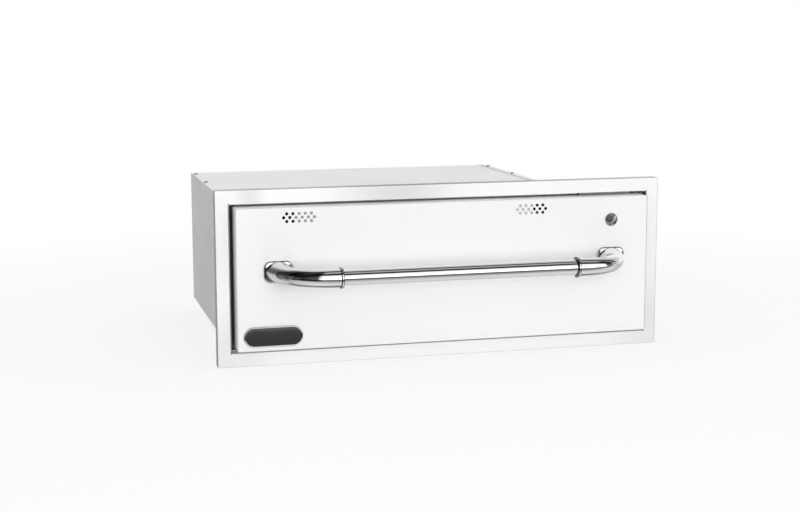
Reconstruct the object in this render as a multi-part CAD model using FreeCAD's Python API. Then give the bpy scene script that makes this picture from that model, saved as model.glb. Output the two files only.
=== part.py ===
import FreeCAD, Part
import math
import os

# Built-in warming drawer, 30 inch class.  All sizes in millimetres.
# Frame: X to the right, Y from the front to the back, Z up.  The origin is the centre of
# the opening it is built into, in the plane where the back of the trim meets the cabinet.

Vector = FreeCAD.Vector
ALONG_X = Vector(1, 0, 0)
ALONG_Y = Vector(0, 1, 0)
ALONG_Z = Vector(0, 0, 1)

# ---------------------------------------------------------------- driving dimensions

# sheet stock and clearances
sheet = 1.2                  # casing, trim and drawer skin
thin_sheet = 1.0             # liner, inner pan, ducts and guards
soft_gap = 0.3               # between a seal and what closes on it
slide_gap = 0.3              # around sheet pieces that slide on each other
shaft_gap = 0.05             # radial, shaft in its bush
hole_gap = 0.3               # radial, around a screw or a tube

# trim frame
trim_width = 762.0
trim_height = 288.4
trim_depth = 18.0
trim_border = 22.2
trim_corner = 2.0
trim_edge = 1.0

# casing behind the trim
casing_depth = 505.0
casing_inset_x = 2.8         # from the trim opening to the casing's outer side
casing_inset_z = 0.5
casing_flange = 12.0
casing_screw_count = 4
casing_screw_spacing = 148.0
casing_screw_from_back = 32.0
back_screw_count = 3
back_screw_spacing = 90.0

# cavity
face_recess = 20.0
side_insulation = 15.0
top_insulation = 10.0
bottom_insulation = 14.0
back_insulation = 16.8
liner_flange = 8.0
gasket_width = 6.0
gasket_thickness = 5.7
gasket_offset = 0.5
gasket_corner = 4.0

# installation screw holes in the two sides of the collar
fixing_hole_radius = 2.6
fixing_hole_y = 10.0
fixing_hole_spacing = 120.0

# control compartment
control_width = 115.0        # beside the casing, behind the right end of the drawer front
control_depth = 150.0
control_flange = 12.0
control_panel_margin = 0.3
control_screw_inset = 7.0
knob_height = -15.0
corner_slot_height = 5.0
corner_slot_length = 9.0
corner_slot_below = 5.0

# drawer front
front_gap_side = 7.5
front_gap_top = 5.4
front_gap_bottom = 7.5
front_proud = 25.0
front_return = 40.0
front_flange = 5.0
front_corner = 2.0
front_edge = 0.9
inner_pan_inset = 0.8
plug_cover = 0.4             # how far the plug reaches past the gasket

# vents
vent_hole_radius = 2.6
vent_spacing = 10.0
vent_row_rise = 6.1
vent_long_row = 6
vent_from_top = 15.8         # below the top edge of the drawer front
vent_from_left = 89.2        # left group's centre, from the cavity's left wall
vent_from_right = 81.0       # right group's centre, from the cavity's right wall
left_shutter_shut_by = 7.4   # how far the left shutter's edge lies outside its group's centre
right_shutter_shut_by = 2.2
duct_height = 18.0
duct_margin = 1.0
shutter_cover = 1.4
window_drop = 1.1            # from the mouth's top edge to the window's
stem_width = 10.0
stem_inset = 2.0
tab_height = 13.0
tab_behind = 6.0

# pilot lamp
lamp_from_right = 65.9       # from the right edge of the drawer front
lamp_from_top = 38.4
bezel_radius = 11.0
bezel_height = 2.2
bezel_tube_radius = 7.5
bezel_bore = 6.0
lens_recess = 8.0
lens_thickness = 2.0
lamp_body_radius = 5.0
lamp_body_length = 14.0
lamp_nose_radius = 4.0
lamp_nose_gap = 2.5
lamp_flange_radius = 7.5
lamp_flange_thickness = 1.5

# badge
badge_from_left = 57.5       # from the left edge of the drawer front
badge_from_bottom = 23.3
badge_length = 96.6
badge_width = 33.4
badge_rim_width = 2.6
badge_rim_thickness = 2.4
badge_plate_thickness = 1.6

# handle
handle_height = 14.2
handle_reach = 85.0          # from the drawer's face to the bar's axis
handle_base_x = 284.5
handle_bar_radius = 12.7
handle_bar_centre_x = -4.1
handle_bar_reach = 198.2       # from the bar's centre to each elbow's end
elbow_bend = 74.0
elbow_sections = 6            # ovals round the bend, after the one it starts at
elbow_root_width = 42.0
elbow_root_height = 33.4
elbow_waist_radius = 13.9
elbow_mouth_radius = 14.9
elbow_root_run = 40.0         # length over which the root narrows to the waist
elbow_root_ease = 1.5
elbow_mouth_run = 45.0        # length over which the waist widens to the mouth
elbow_socket = 12.0
socket_gap = 0.2
collar_radius = 17.0
collar_length = 4.5
base_length = 47.0
base_width = 35.0
base_thickness = 5.0
base_corner = 11.0
base_edge = 1.5
handle_screw_radius = 4.0
handle_screw_grip = 24.0
handle_screw_head_radius = 6.5
handle_screw_head = 4.0

# telescopic slides
slide_length = 450.0
slide_thickness = 12.7
slide_height = 45.0
slide_sheet = 1.2
slide_axis_height = 10.0
slide_from_mouth = 5.0
middle_half_height = 17.2
middle_web_at = 5.0
middle_web = 1.0
middle_from_wall = 2.4
middle_reach = 11.0
inner_half_height = 11.9
inner_lip_start = 7.4
outer_lip_reach = 9.0
ball_gap = 0.05
ball_count = 5
ball_spacing = 40.0
cage_length = 200.0
cage_from_front = 125.0
cage_sheet = 0.7
outer_cage_at = 1.4
outer_ball_at = 5.4
inner_cage_at = 6.3
inner_ball_at = 9.1
rivet_radius = 2.4
rivet_head_radius = 4.0
rivet_head = 2.0
rivet_count = 3
rivet_spacing = 180.0

# drawer box
rail_height = 60.0
rail_above_axis = 30.0
rail_ledge = 16.0
rail_sheet = 1.2
rail_length = 446.0
rail_foot = 14.0
pan_sheet = 1.0
pan_depth = 100.0
pan_wall_gap = 1.0
pan_rim_gap = 2.0
pan_front_gap = 4.0
pan_rim = 14.0
pan_corner = 28.0
pan_fillet = 10.0

# heating element
element_radius = 4.0
element_above_floor = 14.1
element_bend = 25.0
element_front_y = 70.0
element_back_y = 400.0
element_side_gap = 50.0
element_return_y = 115.0
element_tail = 20.0
bracket_width = 14.0
bracket_wall = 5.0
guard_above_floor = 26.1
guard_side_gap = 18.0
guard_front_y = 42.0
guard_back_y = 460.0
guard_slot_count = 9
guard_slot_width = 6.0
guard_slot_margin = 60.0

# thermostat
thermostat_width = 40.0
thermostat_height = 40.0
thermostat_depth = 30.0
shaft_radius = 3.0
shaft_flat = 1.0
shaft_behind = 12.0
knob_radius = 20.0
knob_grip_radius = 15.0
knob_grip_width = 9.0
knob_skirt = 8.0
knob_length = 16.0
knob_gap = 0.5
knob_cap = 4.0
bulb_radius = 3.0
bulb_length = 80.0
bulb_wall_gap = 0.2
bulb_y = 200.0
bulb_below_roof = 33.1
capillary_radius = 1.0
capillary_bend = 3.0
capillary_cross_y = 110.0
capillary_drop = 20.0
capillary_entry_y = 35.0
cutout_radius = 8.0
cutout_thickness = 7.0
cutout_ear_length = 32.0
cutout_ear_width = 10.0
cutout_blade = 5.3
cutout_y = 90.0
cutout_above_base = 81.5

# mains connection
gland_from_right = 56.0      # from the right side of the control compartment
gland_above_base = 61.5
gland_thread_radius = 10.0
gland_bore = 4.5
gland_nut_radius = 13.5
gland_nut = 6.0
gland_reach = 16.0
gland_inside = 6.0
block_width = 60.0
block_height = 16.0
block_depth = 18.0
block_poles = 3
block_hole_radius = 2.2
block_screw_radius = 3.3
block_groove = 5.4
block_rise = 30.0

# casing and panel screws
screw_radius = 2.0
screw_head_radius = 4.0
screw_head = 2.4
screw_tail = 5.0

# ---------------------------------------------------------------- derived places

half_width = trim_width / 2
half_height = trim_height / 2
open_x = half_width - trim_border
open_z = half_height - trim_border
trim_front = -trim_depth

casing_x0 = -(open_x - casing_inset_x)
casing_x1 = -casing_x0 - control_width
casing_z = open_z - casing_inset_z
casing_in_x0 = casing_x0 + sheet
casing_in_x1 = casing_x1 - sheet
panel_z = casing_z - sheet            # outer face of the top and bottom panels
casing_in_z = panel_z - sheet
back_y = casing_depth - sheet         # front of the back panel

liner_x0 = casing_in_x0 + side_insulation
liner_x1 = casing_in_x1 - side_insulation
liner_z0 = -casing_in_z + bottom_insulation
liner_z1 = casing_in_z - top_insulation
liner_y1 = back_y - sheet - back_insulation
mouth_x0 = liner_x0 + thin_sheet
mouth_x1 = liner_x1 - thin_sheet
casing_front = -sheet        # flush with the front of the mounting flange
mouth_z0 = liner_z0 + thin_sheet
mouth_z1 = liner_z1 - thin_sheet
liner_front = face_recess + sheet

face_y = trim_front - front_proud
skin_back = face_y + sheet
front_rear = face_y + front_return
front_x = open_x - front_gap_side
front_z0 = -open_z + front_gap_bottom
front_z1 = open_z - front_gap_top

gasket_front = face_recess - gasket_thickness
plug_reach = gasket_offset + gasket_width + plug_cover
plug_x0 = mouth_x0 - plug_reach
plug_x1 = mouth_x1 + plug_reach
plug_z0 = mouth_z0 - plug_reach
plug_z1 = mouth_z1 + plug_reach
plug_back = gasket_front - soft_gap
plug_wall_y = plug_back - thin_sheet
pan_plate_back = front_rear + thin_sheet

vent_height = front_z1 - vent_from_top
vent_left_x = mouth_x0 + vent_from_left
vent_right_x = mouth_x1 - vent_from_right
left_shutter_x0 = vent_left_x - left_shutter_shut_by
right_shutter_x1 = vent_right_x + right_shutter_shut_by
vent_half_length = (vent_long_row - 1) * vent_spacing / 2 + vent_hole_radius
shutter_length = 2 * (vent_half_length + shutter_cover)
duct_z0 = vent_height - duct_height / 2
duct_z1 = vent_height + duct_height / 2
window_z1 = mouth_z1 - window_drop
left_duct_x0 = vent_left_x - vent_half_length - shutter_cover - duct_margin
left_duct_x1 = vent_left_x + vent_half_length + shutter_cover + shutter_length + duct_margin
right_duct_x0 = vent_right_x - vent_half_length - shutter_cover - shutter_length - duct_margin
right_duct_x1 = vent_right_x + vent_half_length + shutter_cover + duct_margin

lamp_x = front_x - lamp_from_right
lamp_height = front_z1 - lamp_from_top
badge_x = -front_x + badge_from_left
badge_height = front_z0 + badge_from_bottom

control_x0 = casing_x1
control_x1 = -casing_x0
control_in_x1 = control_x1 - sheet
knob_x = (control_x0 + control_in_x1) / 2
panel_front = face_recess - sheet
gland_x = control_x1 - gland_from_right
gland_height = -casing_z + gland_above_base
cutout_height = -casing_z + cutout_above_base
element_height = mouth_z0 + element_above_floor
guard_height = mouth_z0 + guard_above_floor
bulb_height = mouth_z1 - bulb_below_roof

slide_front = face_recess + slide_from_mouth
left_wall = mouth_x0
right_wall = mouth_x1
outer_half_height = slide_height / 2
outer_ball_radius = (outer_half_height - slide_sheet - middle_half_height) / 2 - ball_gap
inner_ball_radius = (middle_half_height - slide_sheet - inner_half_height) / 2 - ball_gap
rail_x0 = mouth_x0 + slide_thickness
rail_x1 = mouth_x1 - slide_thickness
rail_top = slide_axis_height + rail_above_axis
rail_bottom = rail_top - rail_height
rail_back = plug_back + rail_length

elbow_axis_y = face_y - handle_reach
base_front = face_y - base_thickness

# ---------------------------------------------------------------- shape helpers


def box(x0, x1, y0, y1, z0, z1):
    return Part.makeBox(x1 - x0, y1 - y0, z1 - z0, Vector(x0, y0, z0))


def rod(start, direction, length, radius):
    return Part.makeCylinder(radius, length, start, direction)


def rod_y(x, z, y0, y1, radius):
    return rod(Vector(x, y0, z), ALONG_Y, y1 - y0, radius)


def rod_x(y, z, x0, x1, radius):
    return rod(Vector(x0, y, z), ALONG_X, x1 - x0, radius)


def rod_z(x, y, z0, z1, radius):
    return rod(Vector(x, y, z0), ALONG_Z, z1 - z0, radius)


def joined(shapes):
    first = shapes[0]
    rest = shapes[1:]
    return first.fuse(rest).removeSplitter() if rest else first


def with_cuts(shape, tools):
    return shape.cut(tools) if tools else shape


def rounded_outline(u0, u1, v0, v1, radius, place):
    """Wire of a rectangle with round corners; place(u, v) gives the point in space."""
    inner_u0 = u0 + radius
    inner_u1 = u1 - radius
    inner_v0 = v0 + radius
    inner_v1 = v1 - radius
    corners = ((inner_u1, inner_v0), (inner_u1, inner_v1), (inner_u0, inner_v1), (inner_u0, inner_v0))
    arcs = []
    for quarter, (u, v) in enumerate(corners):
        points = []
        for step in (0, 1, 2):
            angle = (quarter - 1 + step / 2) * math.pi / 2
            points.append(place(u + radius * math.cos(angle), v + radius * math.sin(angle)))
        arcs.append(points)
    edges = []
    for index, points in enumerate(arcs):
        edges.append(Part.Arc(points[0], points[1], points[2]).toShape())
        following = arcs[(index + 1) % len(arcs)][0]
        if points[2].distanceToPoint(following) > 1e-6:
            edges.append(Part.LineSegment(points[2], following).toShape())
    return Part.Wire(edges)


def rounded_slab_y(x0, x1, z0, z1, radius, y0, y1):
    """Plate with round corners seen from the front, from y0 to y1."""
    wire = rounded_outline(x0, x1, z0, z1, radius, lambda u, v: Vector(u, y0, v))
    return Part.Face(wire).extrude(Vector(0, y1 - y0, 0))


def rounded_slab_z(x0, x1, y0, y1, radius, z0, z1):
    """Plate with round corners seen from above, from z0 to z1."""
    wire = rounded_outline(x0, x1, y0, y1, radius, lambda u, v: Vector(u, v, z0))
    return Part.Face(wire).extrude(Vector(0, 0, z1 - z0))


def edges_in_plane_y(shape, y):
    found = []
    for edge in shape.Edges:
        bounds = edge.BoundBox
        if abs(bounds.YMin - y) < 1e-4 and abs(bounds.YMax - y) < 1e-4:
            found.append(edge)
    return found


def edges_in_plane_z(shape, z):
    found = []
    for edge in shape.Edges:
        bounds = edge.BoundBox
        if abs(bounds.ZMin - z) < 1e-4 and abs(bounds.ZMax - z) < 1e-4:
            found.append(edge)
    return found


def spaced(count, pitch):
    """Places of count things, pitch apart, centred on zero."""
    return [(index - (count - 1) / 2) * pitch for index in range(count)]


def screw(seat, outward, head_radius, head_height, radius, tail):
    """Domed screw: seat is where the head meets the sheet, outward points to its top."""
    sideways = Vector(outward.y, outward.z, outward.x)
    dome_radius = (head_radius ** 2 + head_height ** 2) / (2 * head_height)
    half_angle = math.asin(head_radius / dome_radius) / 2
    shoulder = seat + sideways * (dome_radius * math.sin(half_angle))
    shoulder += outward * (head_height - dome_radius * (1 - math.cos(half_angle)))
    top = seat + outward * head_height
    rim = seat + sideways * head_radius
    neck = seat + sideways * radius
    tip = seat - outward * tail
    outline = [
        Part.Arc(top, shoulder, rim).toShape(),
        Part.LineSegment(rim, neck).toShape(),
        Part.LineSegment(neck, neck - outward * tail).toShape(),
        Part.LineSegment(neck - outward * tail, tip).toShape(),
        Part.LineSegment(tip, top).toShape(),
    ]
    return Part.Face(Part.Wire(outline)).revolve(seat, outward, 360)


def bent_path(points, radius):
    """Straight runs joined by tangent arcs of one radius."""
    edges = []
    start = points[0]
    for index in range(1, len(points) - 1):
        corner = points[index]
        towards_start = (points[index - 1] - corner).normalize()
        towards_end = (points[index + 1] - corner).normalize()
        half_angle = towards_start.getAngle(towards_end) / 2
        back_off = radius / math.tan(half_angle)
        arc_start = corner + towards_start * back_off
        arc_end = corner + towards_end * back_off
        bisector = (towards_start + towards_end).normalize()
        centre = corner + bisector * (radius / math.sin(half_angle))
        arc_middle = centre - bisector * radius
        edges.append(Part.LineSegment(start, arc_start).toShape())
        edges.append(Part.Arc(arc_start, arc_middle, arc_end).toShape())
        start = arc_end
    edges.append(Part.LineSegment(start, points[-1]).toShape())
    return Part.Wire(edges)


def round_bar(points, bend, radius):
    """Round bar or tube blank along a bent path."""
    path = bent_path(points, bend)
    direction = (points[1] - points[0]).normalize()
    section = Part.Wire([Part.makeCircle(radius, points[0], direction)])
    return path.makePipeShell([section], True, False)


def mirrored(shape, centre_x):
    return shape.mirror(Vector(centre_x, 0, 0), ALONG_X)


# ---------------------------------------------------------------- fastener places


def casing_screw_rows():
    first = casing_depth - casing_screw_from_back
    return [first - index * casing_screw_spacing for index in range(casing_screw_count)]


def casing_screw_seats():
    """Seat and outward direction of every screw in the casing's top and rear flanges."""
    seats = []
    columns = (casing_x0 + casing_flange / 2, casing_x1 - casing_flange / 2)
    for x in columns:
        for y in casing_screw_rows():
            seats.append((Vector(x, y, casing_z), ALONG_Z))
        for z in spaced(back_screw_count, back_screw_spacing):
            seats.append((Vector(x, casing_depth, z), ALONG_Y))
    return seats


def control_screw_seats():
    seats = []
    for x in (control_x0 + control_screw_inset, control_in_x1 - control_screw_inset):
        for z in (-panel_z + control_screw_inset, panel_z - control_screw_inset):
            seats.append((Vector(x, panel_front, z), -ALONG_Y))
    return seats


def screw_holes(seats, radius, tail):
    """Clearance holes along every screw, through everything down to its tip."""
    holes = []
    for seat, outward in seats:
        start = seat + outward * hole_gap
        length = tail + 2 * hole_gap
        holes.append(rod(start, -outward, length, radius + hole_gap))
    return holes


def rivet_places():
    return [(slide_front + slide_length / 2 + step) for step in spaced(rivet_count, rivet_spacing)]


def rivet(wall_x, inward, y):
    """Flush in the slide's web, with its formed head outside the liner wall."""
    flush = Vector(wall_x + inward * slide_sheet, y, slide_axis_height)
    outward = Vector(-inward, 0, 0)
    shank = rod(flush, outward, slide_sheet + thin_sheet, rivet_radius)
    head_start = flush + outward * (slide_sheet + thin_sheet)
    head = rod(head_start, outward, rivet_head, rivet_head_radius)
    return joined([shank, head])


def rivet_pockets(wall_x, inward):
    """Room for the rivets in the slide web, the liner wall and the insulation."""
    pockets = []
    outward = Vector(-inward, 0, 0)
    for y in rivet_places():
        start = Vector(wall_x + inward * (slide_sheet + hole_gap), y, slide_axis_height)
        reach = slide_sheet + thin_sheet + hole_gap
        pockets.append(rod(start, outward, reach, rivet_radius + hole_gap))
        head_start = Vector(wall_x - inward * thin_sheet, y, slide_axis_height)
        head_reach = rivet_head + hole_gap
        pockets.append(rod(head_start, outward, head_reach, rivet_head_radius + hole_gap))
    return pockets


def element_points():
    """Route of the heating element: one loop round the cavity floor, both ends to the right."""
    end_x = control_x0 + element_tail
    left_x = mouth_x0 + element_side_gap
    right_x = mouth_x1 - element_side_gap
    route = (
        (end_x, element_front_y),
        (left_x, element_front_y),
        (left_x, element_back_y),
        (right_x, element_back_y),
        (right_x, element_return_y),
        (end_x, element_return_y),
    )
    return [Vector(x, y, element_height) for x, y in route]


def element_passages():
    """Holes for the two ends of the element through liner, insulation and casing."""
    holes = []
    for y in (element_front_y, element_return_y):
        start = mouth_x1 - sheet
        holes.append(rod_x(y, element_height, start, control_x0 + sheet, element_radius + hole_gap))
    return holes


def capillary_passage():
    start = mouth_x1 - sheet
    radius = capillary_radius + hole_gap
    return rod_x(capillary_cross_y, bulb_height, start, control_x0 + sheet, radius)


# ---------------------------------------------------------------- trim and collar


def trim_frame():
    """Raised trim: a flat border with a return all round outside and inside."""
    inner_corner = max(trim_corner - sheet, trim_edge / 2)
    block = rounded_slab_y(
        -half_width, half_width, -half_height, half_height, trim_corner, trim_front, 0
    )
    block = block.makeFillet(trim_edge, edges_in_plane_y(block, trim_front))
    hollow = rounded_slab_y(
        -half_width + sheet,
        half_width - sheet,
        -half_height + sheet,
        half_height - sheet,
        inner_corner,
        trim_front + sheet,
        0,
    )
    island = box(-open_x - sheet, open_x + sheet, trim_front, -sheet, -open_z - sheet, open_z + sheet)
    opening = box(-open_x, open_x, trim_front, 0, -open_z, open_z)
    frame = block.cut(hollow.cut(island)).cut(opening)
    inner_edges = []
    for edge in edges_in_plane_y(frame, trim_front):
        centre = edge.CenterOfMass
        if abs(centre.x) < open_x + sheet and abs(centre.z) < open_z + sheet:
            inner_edges.append(edge)
    frame = frame.makeFillet(trim_edge / 2, inner_edges)
    slot = box(
        open_x - sheet,
        open_x + 2 * sheet,
        trim_front + 2 * sheet,
        -2 * sheet,
        casing_in_z - corner_slot_height,
        casing_in_z,
    )
    return frame.cut(slot)


def mounting_flange():
    """Flat ring round the front of the casing that bears on the cabinet it is built into."""
    outer_x = half_width - sheet
    outer_z = half_height - sheet
    ring = rounded_slab_y(-outer_x, outer_x, -outer_z, outer_z, trim_corner, -sheet, 0)
    return ring.cut(box(casing_x0, control_x1, casing_front, 0, -casing_z, casing_z))


def fixing_holes():
    holes = []
    for z in spaced(2, fixing_hole_spacing):
        holes.append(rod_x(fixing_hole_y, z, casing_x0 - sheet, casing_in_x0 + sheet, fixing_hole_radius))
        holes.append(rod_x(fixing_hole_y, z, control_in_x1 - sheet, control_x1 + sheet, fixing_hole_radius))
    return holes


# ---------------------------------------------------------------- casing


def casing_panel(z0, z1):
    """Top or bottom panel, under the folded flanges of the sides."""
    panel = box(casing_in_x0, casing_in_x1, casing_front, back_y, z0, z1)
    return with_cuts(panel, screw_holes(casing_screw_seats(), screw_radius, screw_tail))


def casing_side(web_x0, web_x1, flange_x0, flange_x1):
    """Side panel with flanges folded inward along its top, bottom and rear edges.

    Only the underside stops behind the mounting flange, so that the casing can stand flat.
    """
    web = box(web_x0, web_x1, 0, back_y, -casing_z, casing_z)
    web_front = box(web_x0, web_x1, casing_front, 0, -panel_z, casing_z)
    top = box(flange_x0, flange_x1, casing_front, back_y, panel_z, casing_z)
    bottom = box(flange_x0, flange_x1, 0, back_y, -casing_z, -panel_z)
    rear = box(flange_x0, flange_x1, back_y - sheet, back_y, -casing_in_z, casing_in_z)
    side = joined([web, web_front, top, bottom, rear])
    return with_cuts(side, screw_holes(casing_screw_seats(), screw_radius, screw_tail))


def casing_left_side():
    side = casing_side(casing_x0, casing_in_x0, casing_x0, casing_x0 + casing_flange)
    return side.cut(fixing_holes())


def casing_right_side():
    side = casing_side(casing_in_x1, casing_x1, casing_x1 - casing_flange, casing_x1)
    return side.cut(element_passages() + [capillary_passage()])


def casing_back():
    panel = box(casing_x0, casing_x1, back_y, casing_depth, -casing_z, casing_z)
    return with_cuts(panel, screw_holes(casing_screw_seats(), screw_radius, screw_tail))


def casing_screws():
    solids = []
    for seat, outward in casing_screw_seats():
        solids.append(screw(seat, outward, screw_head_radius, screw_head, screw_radius, screw_tail))
    return Part.makeCompound(solids)


def face_plate():
    """Fixed front wall of the heated cavity, set back behind the trim."""
    plate = box(
        casing_in_x0, casing_in_x1, face_recess, liner_front, -casing_in_z, casing_in_z
    )
    return plate.cut(box(mouth_x0, mouth_x1, face_recess, liner_front, mouth_z0, mouth_z1))


def mouth_gasket():
    """Heat-proof seal round the cavity mouth."""
    inner = gasket_offset
    outer = gasket_offset + gasket_width
    ring = rounded_slab_y(
        mouth_x0 - outer,
        mouth_x1 + outer,
        mouth_z0 - outer,
        mouth_z1 + outer,
        gasket_corner + gasket_width,
        gasket_front,
        face_recess,
    )
    hole = rounded_slab_y(
        mouth_x0 - inner,
        mouth_x1 + inner,
        mouth_z0 - inner,
        mouth_z1 + inner,
        gasket_corner,
        gasket_front,
        face_recess,
    )
    return ring.cut(hole)


def cavity_liner():
    """Inner box of the heated cavity with a flange behind the face plate."""
    shell = box(liner_x0, liner_x1, liner_front, liner_y1, liner_z0, liner_z1)
    flange = box(
        liner_x0 - liner_flange,
        liner_x1 + liner_flange,
        liner_front,
        liner_front + thin_sheet,
        liner_z0 - liner_flange,
        liner_z1 + liner_flange,
    )
    inside = box(mouth_x0, mouth_x1, liner_front, liner_y1 - thin_sheet, mouth_z0, mouth_z1)
    liner = joined([shell, flange]).cut(inside)
    holes = rivet_pockets(left_wall, 1) + rivet_pockets(right_wall, -1)
    return liner.cut(holes + element_passages() + [capillary_passage()])


def insulation_side(x0, x1):
    """Side blanket between the liner and the casing, full height."""
    front = liner_front + thin_sheet
    blanket = box(x0, x1, front, back_y - sheet, -casing_in_z, casing_in_z)
    pockets = rivet_pockets(left_wall, 1) + rivet_pockets(right_wall, -1)
    pockets += element_passages() + [capillary_passage()]
    pockets += screw_holes(casing_screw_seats(), screw_radius, screw_tail)
    return blanket.cut(pockets)


def insulation_level(z0, z1):
    """Top or bottom blanket between the two side blankets."""
    front = liner_front + thin_sheet
    return box(liner_x0, liner_x1, front, liner_y1, z0, z1)


def insulation_back():
    blanket = box(liner_x0, liner_x1, liner_y1, back_y - sheet, -casing_in_z, casing_in_z)
    return with_cuts(blanket, screw_holes(casing_screw_seats(), screw_radius, screw_tail))


# ---------------------------------------------------------------- control compartment


def control_ring():
    """Opening inside the flange that the control panel is screwed to."""
    return box(
        control_x0 + control_flange,
        control_in_x1 - control_flange,
        0,
        control_depth,
        -panel_z + control_flange,
        panel_z - control_flange,
    )


def control_box():
    """Shallow open box beside the casing, with its front edge in line with the casing's."""
    outer = box(control_x0, control_x1, 0, control_depth - sheet, -casing_z, casing_z)
    outer_front = box(control_x0, control_x1, casing_front, 0, -panel_z, casing_z)
    inside = box(control_x0, control_in_x1, casing_front, control_depth, -panel_z, panel_z)
    flange = box(control_x0, control_in_x1, face_recess, liner_front, -panel_z, panel_z)
    shell = joined([joined([outer, outer_front]).cut(inside), flange.cut(control_ring())])
    slot_z1 = panel_z - corner_slot_below
    slot = box(
        control_in_x1 - sheet,
        control_x1 + sheet,
        casing_front,
        corner_slot_length,
        slot_z1 - corner_slot_height,
        slot_z1,
    )
    holes = screw_holes(control_screw_seats(), screw_radius, screw_tail)
    return shell.cut(holes + fixing_holes() + [slot])


def control_box_back():
    panel = box(control_x0, control_x1, control_depth - sheet, control_depth, -casing_z, casing_z)
    radius = gland_thread_radius + hole_gap
    hole = rod_y(gland_x, gland_height, control_depth - 2 * sheet, control_depth + sheet, radius)
    return panel.cut(hole)


def control_panel():
    plate = box(
        control_x0 + control_panel_margin,
        control_in_x1 - control_panel_margin,
        panel_front,
        face_recess,
        -panel_z + control_panel_margin,
        panel_z - control_panel_margin,
    )
    shaft_hole = rod_y(knob_x, knob_height, panel_front, face_recess, shaft_radius + 2 * hole_gap)
    lamp_hole = rod_y(lamp_x, lamp_height, panel_front, face_recess, lamp_body_radius + shaft_gap)
    holes = screw_holes(control_screw_seats(), screw_radius, screw_tail)
    return plate.cut(holes + [shaft_hole, lamp_hole])


def control_screws():
    solids = []
    for seat, outward in control_screw_seats():
        solids.append(screw(seat, outward, screw_head_radius, screw_head, screw_radius, screw_tail))
    return Part.makeCompound(solids)


def indicator_lamp():
    """Pilot lamp on the control panel; its clear nose shines through the drawer front."""
    nose_tip = pan_plate_back + lamp_nose_gap
    body = rod_y(lamp_x, lamp_height, panel_front, face_recess + lamp_body_length, lamp_body_radius)
    flange_front = panel_front - lamp_flange_thickness
    flange = rod_y(lamp_x, lamp_height, flange_front, panel_front, lamp_flange_radius)
    nose = rod_y(lamp_x, lamp_height, nose_tip + lamp_nose_radius, flange_front, lamp_nose_radius)
    tip_centre = Vector(lamp_x, nose_tip + lamp_nose_radius, lamp_height)
    tip = Part.makeSphere(lamp_nose_radius, tip_centre)
    blade_back = face_recess + lamp_body_length
    blades = []
    for x in (lamp_x - lamp_body_radius / 2, lamp_x + lamp_body_radius / 2):
        blades.append(
            box(
                x - sheet / 2,
                x + sheet / 2,
                blade_back,
                blade_back + lamp_flange_radius,
                lamp_height - lamp_body_radius / 2,
                lamp_height + lamp_body_radius / 2,
            )
        )
    return joined([body, flange, nose, tip] + blades)


def thermostat_body():
    """Capillary thermostat fixed behind the control panel, with the bush of its shaft."""
    case = box(
        knob_x - thermostat_width / 2,
        knob_x + thermostat_width / 2,
        face_recess,
        face_recess + thermostat_depth,
        knob_height - thermostat_height / 2,
        knob_height + thermostat_height / 2,
    )
    vertical = [edge for edge in case.Edges if edge.BoundBox.YLength > thermostat_depth / 2]
    case = case.makeFillet(bracket_wall / 2, vertical)
    bore_end = face_recess + shaft_behind + hole_gap
    bore = rod_y(knob_x, knob_height, face_recess, bore_end, shaft_radius + shaft_gap)
    return case.cut(bore)


def thermostat_shaft():
    """Round shaft with a flat where the knob pushes on."""
    knob_back = panel_front - knob_gap
    tip = knob_back - knob_length + knob_cap
    shaft = rod_y(knob_x, knob_height, tip, face_recess + shaft_behind, shaft_radius)
    flat_z = knob_height + shaft_radius - shaft_flat
    flat = box(
        knob_x - shaft_radius,
        knob_x + shaft_radius,
        tip,
        knob_back,
        flat_z,
        knob_height + shaft_radius,
    )
    return shaft.cut(flat)


def thermostat_knob():
    """Skirted knob with a bar grip; its pointer is the end of the bar."""
    back = panel_front - knob_gap
    front = back - knob_length
    skirt = rod_y(knob_x, knob_height, back - knob_skirt, back, knob_radius)
    skirt = skirt.makeFillet(knob_gap * 2, edges_in_plane_y(skirt, back - knob_skirt))
    core = rod_y(knob_x, knob_height, front, back, knob_grip_radius)
    bar = box(
        knob_x - knob_grip_width / 2,
        knob_x + knob_grip_width / 2,
        front,
        back,
        knob_height - knob_radius,
        knob_height + knob_radius,
    )
    grip = core.common(bar)
    grip = grip.makeFillet(knob_gap * 2, edges_in_plane_y(grip, front))
    knob = joined([skirt, grip])
    bore_front = front + knob_cap - hole_gap
    bore = rod_y(knob_x, knob_height, bore_front, back, shaft_radius + shaft_gap)
    flat_z = knob_height + shaft_radius - shaft_flat + shaft_gap
    flat = box(
        knob_x - knob_radius,
        knob_x + knob_radius,
        bore_front,
        back,
        flat_z,
        knob_height + knob_radius,
    )
    return knob.cut(bore.cut(flat))


def thermostat_sensor():
    """Liquid-filled bulb on the cavity's right wall with its capillary to the thermostat."""
    bulb_x = mouth_x1 - bulb_radius - bulb_wall_gap
    bulb = rod_y(bulb_x, bulb_height, bulb_y, bulb_y + bulb_length, bulb_radius)
    ends = [bulb.BoundBox.YMin, bulb.BoundBox.YMax]
    bulb = bulb.makeFillet(bulb_radius / 2, edges_in_plane_y(bulb, ends[0]) + edges_in_plane_y(bulb, ends[1]))
    entry_z = knob_height + thermostat_height / 2
    turn_z = entry_z + capillary_drop
    points = [
        Vector(bulb_x, bulb_y + bulb_radius, bulb_height),
        Vector(bulb_x, capillary_cross_y, bulb_height),
        Vector(knob_x, capillary_cross_y, bulb_height),
        Vector(knob_x, capillary_cross_y, turn_z),
        Vector(knob_x, capillary_entry_y, turn_z),
        Vector(knob_x, capillary_entry_y, entry_z),
    ]
    return joined([bulb, round_bar(points, capillary_bend, capillary_radius)])


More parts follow.
